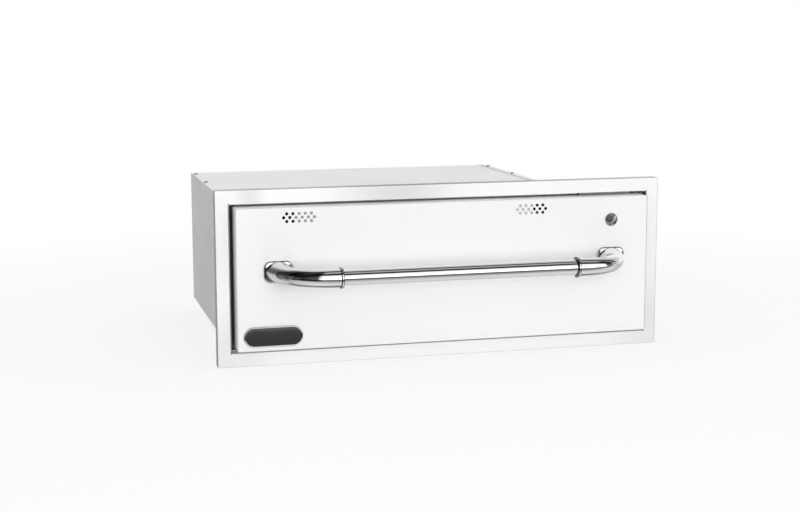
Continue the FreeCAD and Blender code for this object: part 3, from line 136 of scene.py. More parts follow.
class WarmingDrawerSizes(bpy.types.PropertyGroup):
    """Sizes of the pieces that are made here, in metres."""

    trim_border: length_property("Trim border", "Width of the trim round its opening", 0.0222)
    folded_edge: length_property("Folded edge", "Depth of flat face that counts as a fold", 0.0004)
    grain_width: length_property("Grain width", "Width of one brushed line", 0.0008)
    grain_length: length_property("Grain length", "Length of one brushed line", 0.14)
    grain_depth: length_property("Grain depth", "Depth of the brushed lines", 0.0000022)
    sheet_wave: length_property("Sheet wave", "Height of the slow waves in thin sheet", 0.00022)
    thread_pitch: length_property("Thread pitch", "Pitch of the screw threads", 0.0008)
    skirt_flute: length_property("Skirt flute", "Depth of the flutes round the knob's skirt", 0.0005)
    pointer_width: length_property("Pointer width", "Width of the line inlaid in the knob", 0.0014)
    seam_width: length_property("Seam width", "Width of the dark seam where elbow meets foot", 0.0011)
    foot_corner: length_property("Foot corner", "Corner radius of the handle's feet", 0.011)
    foot_bevel: length_property("Foot bevel", "Width of the bevel round the handle's feet", 0.0016)
    foot_hole: length_property("Foot hole", "Radius of the screw hole in the handle's feet", 0.0043)
    bezel_height: length_property("Bezel height", "How far the lamp's ring stands out", 0.0022)
    bezel_tube: length_property("Bezel tube", "Outer radius of the lamp's sight tube", 0.0075)
    lens_gap: length_property("Lens gap", "Clearance round the lens in its tube", 0.00015)
    seal_width: length_property("Seal width", "Width of the seal round the cavity mouth", 0.006)
    seal_corner: length_property("Seal corner", "Inner corner radius of that seal", 0.004)
    print_height: length_property("Print height", "Height of the dial's numbers", 0.0062)
    print_depth: length_property("Print depth", "Thickness of the printed ink", 0.00006)
    wool_loft: length_property("Wool loft", "Unevenness of the insulation's surface", 0.0014)
    wool_cell: length_property("Wool cell", "Mesh size of the insulation's surface", 0.010)
    skirt_flutes: bpy.props.IntProperty(
        name="Skirt flutes", description="Number of flutes round the knob's skirt", min=3, default=36
    )
    gland_ribs: bpy.props.IntProperty(
        name="Gland ribs", description="Number of grip ribs on the gland's cap", min=3, default=12
    )


class WarmingDrawerStudio(bpy.types.PropertyGroup):
    """Floor, light and camera."""

    floor_colour: colour_property("Floor", "Plain pale floor", (0.86, 0.86, 0.86))
    floor_radius: length_property("Floor radius", "Reach of the floor", 60.0)
    floor_glow: share_property("Floor glow", "Share of plain white in the floor as the camera sees it", 0.78)
    shadow_reach: length_property("Shadow reach", "Distance at which the floor is plain white", 1.8)
    sky_light: bpy.props.FloatProperty(
        name="Sky light", description="Strength of the even light from all round", min=0, default=0.92
    )
    key_power: bpy.props.FloatProperty(
        name="Key power", description="Power of the large soft lamp", subtype="POWER", min=0, default=31.5
    )
    key_place: bpy.props.FloatVectorProperty(
        name="Key place",
        description="Place of the large soft lamp",
        subtype="TRANSLATION",
        unit="LENGTH",
        default=(-0.15, -2.75, 0.38),
    )
    key_width: length_property("Key width", "Width of the large soft lamp", 1.1)
    camera_place: bpy.props.FloatVectorProperty(
        name="Camera place",
        description="Place of the camera",
        subtype="TRANSLATION",
        unit="LENGTH",
        default=(-0.69289, -2.37393, 0.41219),
    )
    camera_yaw: angle_property("Camera yaw", "Turn of the camera to the right", 14.6576)
    camera_pitch: angle_property("Camera pitch", "Tilt of the camera below level", 9.0053)
    camera_roll: angle_property("Camera roll", "Roll of the camera", -0.1163)
    camera_lens: bpy.props.FloatProperty(
        name="Camera lens",
        description="Focal length on a 36 mm wide sensor",
        subtype="DISTANCE_CAMERA",
        min=1,
        default=67.274,
    )


def colours():
    return bpy.context.scene.warming_drawer_colours


def sizes():
    return bpy.context.scene.warming_drawer_sizes


def studio():
    return bpy.context.scene.warming_drawer_studio


# ---------------------------------------------------------------- shader maths


class Signal:
    """A shader socket that can stand in a Python expression."""

    def __init__(self, shader, socket):
        self.shader = shader
        self.socket = socket

    def combined(self, operation, first, second):
        if self.socket.type == "VALUE":
            return self.shader.node("ShaderNodeMath", {"operation": operation}, {0: first, 1: second})
        if self.socket.type == "VECTOR":
            return self.shader.node("ShaderNodeVectorMath", {"operation": operation}, {0: first, 1: second})
        return self.shader.mix(1.0, first, second, operation)

    def __add__(self, other):
        return self.combined("ADD", self, other)

    def __radd__(self, other):
        return self.combined("ADD", other, self)

    def __sub__(self, other):
        return self.combined("SUBTRACT", self, other)

    def __rsub__(self, other):
        return self.combined("SUBTRACT", other, self)

    def __mul__(self, other):
        return self.combined("MULTIPLY", self, other)

    def __rmul__(self, other):
        return self.combined("MULTIPLY", other, self)

    def __truediv__(self, other):
        return self.combined("DIVIDE", self, other)

    def __rtruediv__(self, other):
        return self.combined("DIVIDE", other, self)

    def __abs__(self):
        return self.shader.node("ShaderNodeMath", {"operation": "ABSOLUTE"}, {0: self})


class Shader:
    """A node tree, and the one way to add a node to it."""

    def __init__(self, tree):
        self.tree = tree

    def feed(self, socket, value):
        """Links a signal to a socket, or sets the socket's own value."""
        if isinstance(value, Signal):
            self.tree.links.new(value.socket, socket)
        elif socket.type == "RGBA":
            socket.default_value = (*value, 1.0)
        elif socket.type == "VECTOR" and isinstance(value, (int, float)):
            socket.default_value = (value, value, value)
        else:
            socket.default_value = value

    def node(self, kind, settings=None, inputs=None, output=0):
        """Adds a node, sets its settings, feeds its sockets and returns one of its outputs."""
        made = self.tree.nodes.new(kind)
        for name, value in (settings or {}).items():
            if name == "stops":
                self.set_stops(made.color_ramp.elements, value)
            else:
                setattr(made, name, value)
        for name, value in (inputs or {}).items():
            self.feed(made.inputs[name], value)
        return Signal(self, made.outputs[output]) if made.outputs else None

    def set_stops(self, elements, stops):
        while len(elements) < len(stops):
            elements.new(1.0)
        for element, (position, level) in zip(elements, stops):
            element.position = position
            element.color = (level, level, level, 1.0)

    def mix(self, share, first, second, blend="MIX"):
        settings = {"data_type": "RGBA", "blend_type": blend}
        return self.node("ShaderNodeMix", settings, {0: share, 6: first, 7: second}, 2)

    def faded(self, signal, start, end):
        """0 up to start, 1 from end on, and smooth between them."""
        inputs = {"Value": signal, "From Min": start, "From Max": end}
        return self.node("ShaderNodeMapRange", {"interpolation_type": "SMOOTHSTEP"}, inputs)

    def place(self):
        return self.node("ShaderNodeTexCoord", output=3)

    def place_along(self, axis):
        return self.node("ShaderNodeSeparateXYZ", inputs={0: self.place()}, output=axis)

    def within(self, axis, start, end, soft=0.0002):
        """1 between two places along an axis, and 0 beyond them."""
        along = self.place_along(axis)
        entered = self.faded(along, start - soft, start + soft)
        left = self.faded(along, end - soft, end + soft)
        return entered * (1 - left)

    def noise(self, vector, detail=2.0):
        return self.node("ShaderNodeTexNoise", inputs={"Vector": vector, "Scale": 1.0, "Detail": detail})

    def cloud(self, size, detail=2.0):
        """Even noise with features of the given size, from 0 to 1."""
        return self.noise(self.place() * (1 / size), detail)

    def grain(self, axis, width, length, detail=2.0):
        """Noise drawn out along one axis, as brushed lines are."""
        scale = [1 / width, 1 / width, 1 / width]
        scale[axis] = 1 / length
        return self.noise(self.place() * tuple(scale), detail)


class Finish(Shader):
    """A material with one Principled surface."""

    def __init__(self, name, constants=None):
        self.material = bpy.data.materials.new(name)
        self.material.use_nodes = True
        super().__init__(self.material.node_tree)
        self.surface = self.tree.nodes["Principled BSDF"]
        self.set(constants or {})

    def set(self, sockets):
        for name, value in sockets.items():
            self.feed(self.surface.inputs[name], value)

    def shaded(self, colour, shade):
        """A colour made lighter or darker by a signal near 1."""
        return self.mix(1.0, colour, shade, "MULTIPLY")

    def current(self, name):
        """What feeds a socket of the surface now."""
        socket = self.surface.inputs[name]
        return Signal(self, socket.links[0].from_socket) if socket.is_linked else socket.default_value

    def toned(self, mask, tone):
        """Makes the colour lighter or darker where a mask is 1."""
        self.set({"Base Color": self.shaded(self.current("Base Color"), 1 - mask * (1 - tone))})

    def satin(self, mask, metallic, roughness):
        """Makes the surface duller where a mask is 1."""
        blend = 1 - mask
        self.set(
            {
                "Metallic": blend * self.current("Metallic") + mask * metallic,
                "Roughness": blend * self.current("Roughness") + mask * roughness,
            }
        )

    def flat_face(self, low, high, fold):
        """1 on the flat face of a folded front, seen along Y, and 0 on its folds."""
        across = self.within(X_AXIS, low.x + fold, high.x - fold)
        return across * self.within(Z_AXIS, low.z + fold, high.z - fold)

    def patch(self, centre, reach):
        """1 in the middle of an oval patch seen along Y, falling softly to 0 at its reach."""
        flat = (self.place() - centre) * (1 / reach[0], 0.0, 1 / reach[1])
        away = self.node("ShaderNodeVectorMath", {"operation": "LENGTH"}, {0: flat}, 1)
        return 1 - self.faded(away, 0.0, 1.0)

    def away(self, centre):
        """Distance from the line along Y through a place."""
        flat = (self.place() - tuple(centre)) * (1.0, 0.0, 1.0)
        return self.node("ShaderNodeVectorMath", {"operation": "LENGTH"}, {0: flat}, 1)

    def relief(self, height):
        """Bumps the surface by a signal that is a height in metres."""
        bump = self.node("ShaderNodeBump", inputs={"Strength": 1.0, "Distance": 1.0, "Height": height})
        self.set({"Normal": bump})


# ---------------------------------------------------------------- finishes


def brushed_steel(name, colour, roughness, axis, wave=1.0, metallic=0.8):
    """Stainless sheet with brushed lines along one axis and slow waves from folding."""
    size = sizes()
    finish = Finish(name, {"Metallic": metallic, "Anisotropic": 0.95, "Anisotropic Rotation": 0.25})
    fine = finish.grain(axis, size.grain_width, size.grain_length, 3.0)
    broad = finish.grain(axis, size.grain_width * 9, size.grain_length * 4)
    drift = finish.cloud(0.11)
    swell = finish.cloud(0.21, 1.0)
    shade = 0.98 + fine * 0.02 + broad * 0.015
    finish.set(
        {
            "Base Color": finish.shaded(colour, shade),
            "Roughness": roughness + (fine - 0.5) * 0.05 + (broad - 0.5) * 0.03 + (drift - 0.5) * 0.06,
        }
    )
    finish.relief(fine * size.grain_depth + swell * (size.sheet_wave * wave))
    return finish


def mill_steel(name, colour, roughness, axis):
    """Cold-rolled stainless sheet, cloudy with faint rolling lines and a few rubbed marks."""
    size = sizes()
    finish = Finish(name, {"Metallic": 1.0})
    rolling = finish.grain(axis, 0.0022, 0.35, 3.0)
    mottle = finish.cloud(0.016, 4.0)
    drift = finish.cloud(0.14)
    rub = finish.faded(finish.grain(1 - min(axis, 1), 0.0012, 0.05, 1.0), 0.71, 0.80)
    shade = 0.95 + rolling * 0.04 + mottle * 0.03 + drift * 0.03 - rub * 0.03
    finish.set(
        {
            "Base Color": finish.shaded(colour, shade),
            "Roughness": roughness + (mottle - 0.5) * 0.10 + (drift - 0.5) * 0.10 - rub * 0.08,
        }
    )
    finish.relief(rolling * size.grain_depth + drift * (size.sheet_wave * 1.2))
    return finish


def polished_steel(name, colour, roughness):
    """Mirror-polished steel with buffing hairlines."""
    finish = Finish(name, {"Metallic": 1.0})
    hairline = finish.grain(X_AXIS, 0.0005, 0.02, 3.0)
    smear = finish.cloud(0.03)
    finish.set(
        {
            "Base Color": finish.shaded(colour, 0.98 + hairline * 0.04),
            "Roughness": roughness + hairline * 0.02 + smear * 0.03,
        }
    )
    finish.relief(hairline * 0.0000006 + smear * 0.00001)
    return finish


def zinc_plate():
    """Bright zinc with a faint uneven passivation."""
    finish = Finish("zinc_plate", {"Metallic": 1.0})
    cast = finish.faded(finish.cloud(0.035, 3.0), 0.40, 0.72)
    drawn = finish.grain(Y_AXIS, 0.0007, 0.06)
    colour = finish.mix(cast, tuple(colours().zinc), tuple(colours().zinc_tint))
    finish.set(
        {
            "Base Color": finish.shaded(colour, 0.94 + drawn * 0.12),
            "Roughness": 0.26 + drawn * 0.14 + cast * 0.08,
        }
    )
    finish.relief(drawn * 0.000004)
    return finish


def machined_steel(name, colour, roughness):
    """Turned steel, with fine tool marks and handling wear."""
    finish = Finish(name, {"Metallic": 1.0})
    marks = finish.cloud(0.0006, 3.0)
    worn = finish.cloud(0.004)
    finish.set(
        {
            "Base Color": finish.shaded(colour, 0.88 + marks * 0.14 + worn * 0.10),
            "Roughness": roughness + marks * 0.10 + worn * 0.06,
        }
    )
    finish.relief(marks * 0.000008)
    return finish


def tempered_sheath():
    """Heating element sheath with brown and blue temper colours."""
    finish = Finish("tempered_sheath", {"Metallic": 0.75})
    temper = finish.faded(finish.grain(X_AXIS, 0.02, 0.07, 3.0), 0.38, 0.66)
    scale = finish.cloud(0.0015, 4.0)
    colour = finish.mix(temper, tuple(colours().sheath), tuple(colours().sheath_blue))
    finish.set(
        {
            "Base Color": finish.shaded(colour, 0.75 + scale * 0.50),
            "Roughness": 0.42 + scale * 0.22,
        }
    )
    finish.relief(scale * 0.00006)
    return finish


def drawn_copper():
    """Drawn copper, dulled in patches."""
    finish = Finish("drawn_copper", {"Metallic": 1.0})
    tarnish = finish.faded(finish.cloud(0.008, 4.0), 0.35, 0.75)
    colour = finish.mix(tarnish, tuple(colours().copper), tuple(part * 0.55 for part in colours().copper))
    finish.set({"Base Color": colour, "Roughness": 0.24 + tarnish * 0.26})
    finish.relief(tarnish * 0.00001)
    return finish


def moulded(name, colour, roughness, speck=0.0012, depth=0.00003, coat=0.0):
    """Moulded plastic with the fine texture of its mould."""
    finish = Finish(name, {"Coat Weight": coat, "Coat Roughness": 0.05})
    spark = finish.cloud(speck, 3.0)
    flow = finish.cloud(0.012)
    finish.set(
        {
            "Base Color": finish.shaded(colour, 0.86 + spark * 0.14 + flow * 0.14),
            "Roughness": roughness + (spark - 0.5) * 0.12 + (flow - 0.5) * 0.08,
        }
    )
    finish.relief(spark * depth)
    return finish


def silicone_seal():
    """Extruded seal: matt, with faint draw lines and a little dust."""
    finish = Finish("silicone_seal", {"Specular IOR Level": 0.35})
    dust = finish.faded(finish.cloud(0.006, 4.0), 0.50, 0.80)
    draw = finish.cloud(0.0011, 3.0)
    colour = finish.mix(dust * 0.25, tuple(colours().rubber), (0.20, 0.20, 0.19))
    finish.set({"Base Color": colour, "Roughness": 0.62 + draw * 0.20})
    finish.relief(draw * 0.00004)
    return finish


def bonded_wool():
    """Glass fibre blanket: matted fibres in two shades."""
    finish = Finish("bonded_wool", {"Specular IOR Level": 0.2})
    matted = finish.grain(X_AXIS, 0.0012, 0.012, 4.0)
    crossed = finish.grain(Z_AXIS, 0.0012, 0.012, 4.0)
    clump = finish.cloud(0.02, 3.0)
    pale = tuple(min(1.0, part * 1.18 + 0.06) for part in colours().glass_wool)
    colour = finish.mix(finish.faded(matted + crossed, 0.75, 1.25), tuple(colours().glass_wool), pale)
    finish.set({"Base Color": finish.shaded(colour, 0.80 + clump * 0.30), "Roughness": 0.95})
    finish.relief(matted * 0.0006 + crossed * 0.0006 + clump * 0.0015)
    return finish


def enamel_field():
    """Dark enamel under a clear skin."""
    finish = Finish("enamel_field", {"Coat Weight": 0.6, "Coat Roughness": 0.08})
    fleck = finish.cloud(0.0007, 2.0)
    skin = finish.cloud(0.006)
    finish.set(
        {
            "Base Color": finish.shaded(tuple(colours().enamel), 0.80 + fleck * 0.40),
            "Roughness": 0.30 + fleck * 0.12,
        }
    )
    finish.relief(skin * 0.00003)
    return finish


def dial_ink(name, colour):
    """Screen-printed ink, slightly uneven."""
    finish = Finish(name)
    thin = finish.cloud(0.0009, 3.0)
    finish.set({"Base Color": finish.shaded(colour, 0.85 + thin * 0.30), "Roughness": 0.45 + thin * 0.15})
    return finish


def dress(finish, *nodes):
    """Gives nodes of the frame their finish."""
    for name in nodes:
        materials = NODES[name].data.materials
        materials.clear()
        materials.append(finish.material)


# ---------------------------------------------------------------- mesh helpers


def facing(place, outward):
    """Placing whose local Z points outward from a place."""
    if abs(outward.y) > abs(outward.z):
        across = Vector((-outward.y, 0, 0))
    else:
        across = Vector((1, 0, 0))
    rotation = Matrix((across, outward.cross(across), outward)).transposed()
    return Matrix.Translation(place) @ rotation.to_4x4()


def middle_at(low, high, y):
    """Middle of a box in X and Z, at a given Y."""
    return Vector(((low.x + high.x) / 2, y, (low.z + high.z) / 2))


def spoke(angle):
    """Direction at an angle in the XZ plane, from X towards Z."""
    return Vector((math.cos(angle), 0, math.sin(angle)))


def half_turn(steps):
    """Angles of a half circle in equal steps."""
    return [math.pi * step / steps for step in range(steps + 1)]


def quads_between(bm, first, second):
    """Joins two closed loops of as many vertices by a ring of faces."""
    count = len(first)
    for index in range(count):
        following = (index + 1) % count
        bm.faces.new((first[index], first[following], second[following], second[index]))


def turned(bm, rings, segments, placing, hollow=False):
    """Adds a form built from rings of (radius, height); a radius may be a function of the angle."""
    loops = []
    for radius, height in rings:
        loop = []
        for step in range(segments):
            angle = 2 * math.pi * step / segments
            reach = radius(angle) if callable(radius) else radius
            point = Vector((reach * math.cos(angle), reach * math.sin(angle), height))
            loop.append(bm.verts.new(placing @ point))
        loops.append(loop)
    for first, second in zip(loops, loops[1:]):
        quads_between(bm, first, second)
    if hollow:
        quads_between(bm, loops[-1], loops[0])
    else:
        bm.faces.new(loops[0][::-1])
        bm.faces.new(loops[-1])


def swept(bm, path, profile):
    """Adds a closed form: a closed profile of (outward, y) carried round a closed path in XZ."""
    loops = []
    for point, outward in path:
        loops.append([bm.verts.new(point + outward * reach + Vector((0, y, 0))) for reach, y in profile])
    for first, second in zip(loops, loops[1:] + loops[:1]):
        quads_between(bm, first, second)


def rounded_path(centre, half_width, half_height, corner, steps):
    """Points and outward directions round a rectangle with rounded corners, in the XZ plane."""
    path = []
    for quarter, (sign_x, sign_z) in enumerate(((1, 1), (-1, 1), (-1, -1), (1, -1))):
        middle = Vector((sign_x * (half_width - corner), 0, sign_z * (half_height - corner)))
        for step in range(steps + 1):
            outward = spoke((quarter + step / steps) * math.pi / 2)
            path.append((centre + middle + outward * corner, outward))
    return path


def cross_radius(arm, width):
    """Radius function of a cross-shaped recess."""

    def radius(angle):
        folded = abs((angle + math.pi / 4) % (math.pi / 2) - math.pi / 4)
        return min(arm / math.cos(folded), width / max(math.sin(folded), 0.01))

    return radius


def hexagon_radius(across_corners):
    """Radius function of a hexagon with slightly softened corners."""

    def radius(angle):
        folded = abs(angle % (math.pi / 3) - math.pi / 6)
        flat = across_corners * math.cos(math.pi / 6) / math.cos(folded)
        return min(flat, across_corners * 0.97)

    return radius


def fluted_radius(radius, count, depth):
    """Radius function of a round form with hollow flutes."""
    return lambda angle: radius - depth * max(0.0, math.cos(angle * count)) ** 2


def oval_radius(half_width, half_height, squareness):
    """Radius function of a rounded bar: a superellipse."""

    def radius(angle):
        wide = abs(math.cos(angle) / half_width) ** squareness
        high = abs(math.sin(angle) / half_height) ** squareness
        return (wide + high) ** (-1 / squareness)

    return radius


def rounded_radius(half_width, half_height, corner):
    """Radius function of a rectangle with rounded corners."""
    across, up = half_width - corner, half_height - corner

    def radius(angle):
        cosine, sine = abs(math.cos(angle)), abs(math.sin(angle))
        if sine * half_width <= cosine * up:
            return half_width / cosine
        if cosine * half_height <= sine * across:
            return half_height / sine
        along = across * cosine + up * sine
        return along + math.sqrt(along**2 - across**2 - up**2 + corner**2)

    return radius


def add_piece(name, bm, finish, body, stands_for=(), sharp=35):
    """Makes a piece from its mesh, with its finish, its body and the nodes it stands for."""
    bmesh.ops.recalc_face_normals(bm, faces=bm.faces)
    mesh = bpy.data.meshes.new(name)
    bm.to_mesh(mesh)
    bm.free()
    mesh.materials.append(finish.material)
    mesh.shade_smooth()
    mesh.set_sharp_from_angle(angle=math.radians(sharp))
    piece = bpy.data.objects.new(name, mesh)
    bpy.context.scene.collection.objects.link(piece)
    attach(piece, body)
    if stands_for:
        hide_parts(*stands_for)
    return piece


def solids_of(node):
    """(lowest corner, highest corner) of each separate solid in a node."""
    bm = bmesh.new()
    bm.from_mesh(NODES[node].data)
    bmesh.ops.remove_doubles(bm, verts=bm.verts, dist=MERGE_DISTANCE)
    waiting = set(bm.verts)
    boxes = []
    while waiting:
        reached = [waiting.pop()]
        for vertex in reached:
            for edge in vertex.link_edges:
                other = edge.other_vert(vertex)
                if other in waiting:
                    waiting.discard(other)
                    reached.append(other)
        low = Vector([min(vertex.co[axis] for vertex in reached) for axis in range(3)])
        high = Vector([max(vertex.co[axis] for vertex in reached) for axis in range(3)])
        boxes.append((low, high))
    bm.free()
    return sorted(boxes, key=lambda box: tuple(round(part, 5) for part in box[0]))


# ---------------------------------------------------------------- operators


class DressFront(bpy.types.Operator):
    """Finish the drawer front, its trim and the vents"""

    bl_idname = "warming_drawer.front"
    bl_label = "Drawer front and trim"

    # Painted reflections on the trim, soft darker and lighter patches: the middle, the reach across and up,
    # and the tone.
    HAZES = (
        ((-0.080, 0, 0.134), (0.140, 0.060), 0.78),
        ((-0.324, 0, 0.134), (0.034, 0.060), 0.84),
        ((-0.381, 0, -0.144), (0.130, 0.130), 0.88),
        ((0.381, 0, -0.144), (0.110, 0.140), 0.86),
        ((0.120, 0, -0.133), (0.900, 0.040), 1.08),
        ((-0.370, 0, 0.070), (0.060, 0.140), 0.93),
    )
    # The same for the drawer front: a painted reflection that makes it a little brighter at the lower right.
    BRIGHT_HAZE = ((0.200, 0, -0.060), (0.620, 0.260), 1.065)
    # Metallic share and roughness where the sheet turns back, which the brushing doesn't reach.
    FRONT_FOLD = (0.35, 0.5)
    TRIM_FOLD = (0.20, 0.5)
    # Depth behind the face from which a bore's wall counts, and to which.
    BORE_START, BORE_END, BORE_FADE = 0.0003, 0.0030, 0.0001
    # Painted light and shade, as shares of the sheet's colour: the front's folds painted lighter; painted
    # shade on its right return, in its bores, on the trim's gap walls, outer folds and edges.
    FOLD_TONE, RIGHT_RETURN_TONE, BORE_TONE = 1.05, 0.55, 0.06
    GAP_WALL_TONE, OUTER_FOLD_TONE, LEFT_EDGE_TONE, RIGHT_EDGE_TONE = 0.04, 0.45, 0.30, 0.75
    # How light the shutters look behind their holes, as a share of the front's colour: painted shade, deeper
    # on the left.
    SHUTTER_TONES = {"left": 0.44, "right": 0.70}

    def front(self, colour, fold):
        """Brushed skin, with duller folds painted lighter, a painted bright reflection, and painted shade on
        its right return and in its bores.
        """
        steel, rough = tuple(colour.front_steel), colour.front_roughness
        front = brushed_steel("front_brushed", steel, rough, X_AXIS, 1.0, colour.front_metal)
        low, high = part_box("drawer_front")
        folds = 1 - front.flat_face(low, high, fold)
        front.satin(folds, *self.FRONT_FOLD)
        # Folds painted lighter, painted light against the shade of the gap.
        front.toned(folds, self.FOLD_TONE)
        # Painted reflection: the front a little brighter at the lower right.
        place, reach, tone = self.BRIGHT_HAZE
        front.toned(front.patch(place, reach), tone)
        # Painted shade: a dark line along the right return.
        front.toned(front.within(X_AXIS, high.x - fold * 4, 1.0), self.RIGHT_RETURN_TONE)
        # Painted shade on the walls of the bores.
        bores = front.within(Y_AXIS, low.y + self.BORE_START, low.y + self.BORE_END, self.BORE_FADE)
        front.toned(bores * (1 - folds), self.BORE_TONE)
        dress(front, "drawer_front")

    def trim(self, colour, fold):
        """Brushed border, with painted shade on the walls at the gap, on its outer folds and edges, and
        painted reflections as soft patches.
        """
        steel, rough = tuple(colour.trim_steel), colour.trim_roughness
        trim = brushed_steel("trim_brushed", steel, rough, X_AXIS, 1.6, colour.trim_metal)
        low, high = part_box("trim_frame")
        border = Vector((1, 0, 1)) * sizes().trim_border
        outer_folds = 1 - trim.flat_face(low, high, fold)
        inner_folds = trim.flat_face(low + border, high - border, -fold * 3)
        uprights = 1 - trim.within(X_AXIS, low.x + border.x, high.x - border.x, 0.001)
        left_edge = 1 - trim.within(X_AXIS, low.x + fold, 1.0)
        right_edge = trim.within(X_AXIS, high.x - fold * 4, 1.0)
        trim.satin(inner_folds, *self.TRIM_FOLD)
        # Painted shade on the gap walls, the outer folds and the left and right edges.
        trim.toned(inner_folds * uprights, self.GAP_WALL_TONE)
        trim.toned(outer_folds, self.OUTER_FOLD_TONE)
        trim.toned(left_edge, self.LEFT_EDGE_TONE)
        trim.toned(right_edge, self.RIGHT_EDGE_TONE)
        # Painted reflections as soft darker and lighter patches.
        for place, reach, tone in self.HAZES:
            trim.toned(trim.patch(place, reach), tone)
        dress(trim, "trim_frame")

    def execute(self, context):
        colour = colours()
        fold = sizes().folded_edge
        self.front(colour, fold)
        self.trim(colour, fold)
        # Shutters painted darker than the front as shade, more on the left than on the right.
        for side, tone in self.SHUTTER_TONES.items():
            steel = tuple(part * tone for part in colour.front_steel)
            shutter = mill_steel(f"{side}_shutter_steel", steel, colour.casing_roughness, X_AXIS)
            shutter.set({"Metallic": 0.6})
            dress(shutter, f"{side}_vent_shutter")
        duct = mill_steel("duct_steel", tuple(colour.liner_steel), colour.casing_roughness, X_AXIS)
        dress(duct, "vent_ducts")
        return {"FINISHED"}


class DressHandle(bpy.types.Operator):
    """Finish the polished handle and make its bevelled feet"""

    bl_idname = "warming_drawer.handle"
    bl_label = "Handle"

    # Where the left elbow's foot end stops, and over what length it fades into the bend.
    FOOT_END, FOOT_FADE = -0.256, 0.014
    # Painted dark reflection along the foot end: its lower and upper edge over the tube's middle, and its
    # fade.
    STREAK_LOW, STREAK_HIGH, STREAK_FADE = 0.0015, 0.0105, 0.0025
    # Underside of both elbows, where shade is painted: its upper edge under the tube's middle, and its fade.
    UNDERSIDE, UNDERSIDE_FADE = 0.0098, 0.0012
    # Tones of the seam's dark joint, of the painted dark reflection, and of the painted shade under the
    # elbows and on the rest of the foot end.
    SEAM_TONE, STREAK_TONE, UNDERSIDE_TONE, FOOT_END_TONE = 0.12, 0.14, 0.30, 0.86
    # Share of a collar's length at each of its ends that is painted dark, a painted dark reflection.
    COLLAR_EDGE = 0.3

    def foot(self, bm, low, high):
        """One foot with a bevelled brow and a hole for its screw."""
        size = sizes()
        half_width, half_height = (high.x - low.x) / 2, (high.z - low.z) / 2
        thickness = high.y - low.y
        bevel = size.foot_bevel
        rings = [(size.foot_hole, 0)]
        for inset, drop in ((0.0, None), (0.0, 0.76), (0.04, 0.70), (0.96, 0.03), (1.06, 0.0)):
            run = bevel * inset
            outline = rounded_radius(half_width - run, half_height - run, size.foot_corner - run)
            rings.append((outline, 0 if drop is None else thickness - bevel * drop))
        rings.append((size.foot_hole, thickness))
        place = middle_at(low, high, high.y)
        turned(bm, rings, 120, facing(place, OUT_FRONT), hollow=True)

    def execute(self, context):
        colour, size = colours(), sizes()
        polished = polished_steel("handle_polish", tuple(colour.polished_steel), colour.polish_roughness)
        dress(polished, "handle_bar")
        elbow = polished_steel("elbow_polish", tuple(colour.polished_steel), colour.polish_roughness)
        low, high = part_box("left_handle_elbow")
        middle = (low.z + high.z) / 2
        seam = elbow.within(Y_AXIS, high.y - size.seam_width, high.y + size.seam_width)
        foot_end = 1 - elbow.within(X_AXIS, self.FOOT_END, 1.0, self.FOOT_FADE)
        reflection_low, reflection_high = middle + self.STREAK_LOW, middle + self.STREAK_HIGH
        dark_reflection = elbow.within(Z_AXIS, reflection_low, reflection_high, self.STREAK_FADE)
        under = 1 - elbow.within(Z_AXIS, middle - self.UNDERSIDE, 1.0, self.UNDERSIDE_FADE)
        elbow.toned(seam, self.SEAM_TONE)
        # Painted dark reflection along the foot end, painted shade under the elbows and on the rest of the
        # foot end.
        elbow.toned(foot_end * dark_reflection, self.STREAK_TONE)
        elbow.toned(under, self.UNDERSIDE_TONE)
        elbow.toned(foot_end * (1 - dark_reflection) * (1 - under), self.FOOT_END_TONE)
        dress(elbow, "left_handle_elbow", "right_handle_elbow")
        bm = bmesh.new()
        for low, high in solids_of("handle_bases"):
            self.foot(bm, low, high)
        footing = polished_steel("foot_polish", tuple(colour.foot_steel), colour.polish_roughness)
        add_piece("handle_bevelled_feet", bm, footing, "drawer", ["handle_bases"], 20)
        collar = polished_steel("collar_polish", tuple(colour.polished_steel), colour.polish_roughness)
        middles = 0
        for low, high in solids_of("handle_collars"):
            edge = (high.x - low.x) * self.COLLAR_EDGE
            middles = collar.within(X_AXIS, low.x + edge, high.x - edge, edge / 3) + middles
        # The collars' ends are painted dark, a painted dark reflection on their rounded edges.
        bright = collar.current("Base Color")
        collar.set({"Base Color": collar.mix(middles, tuple(colour.collar_steel), bright)})
        dress(collar, "handle_collars")
        return {"FINISHED"}


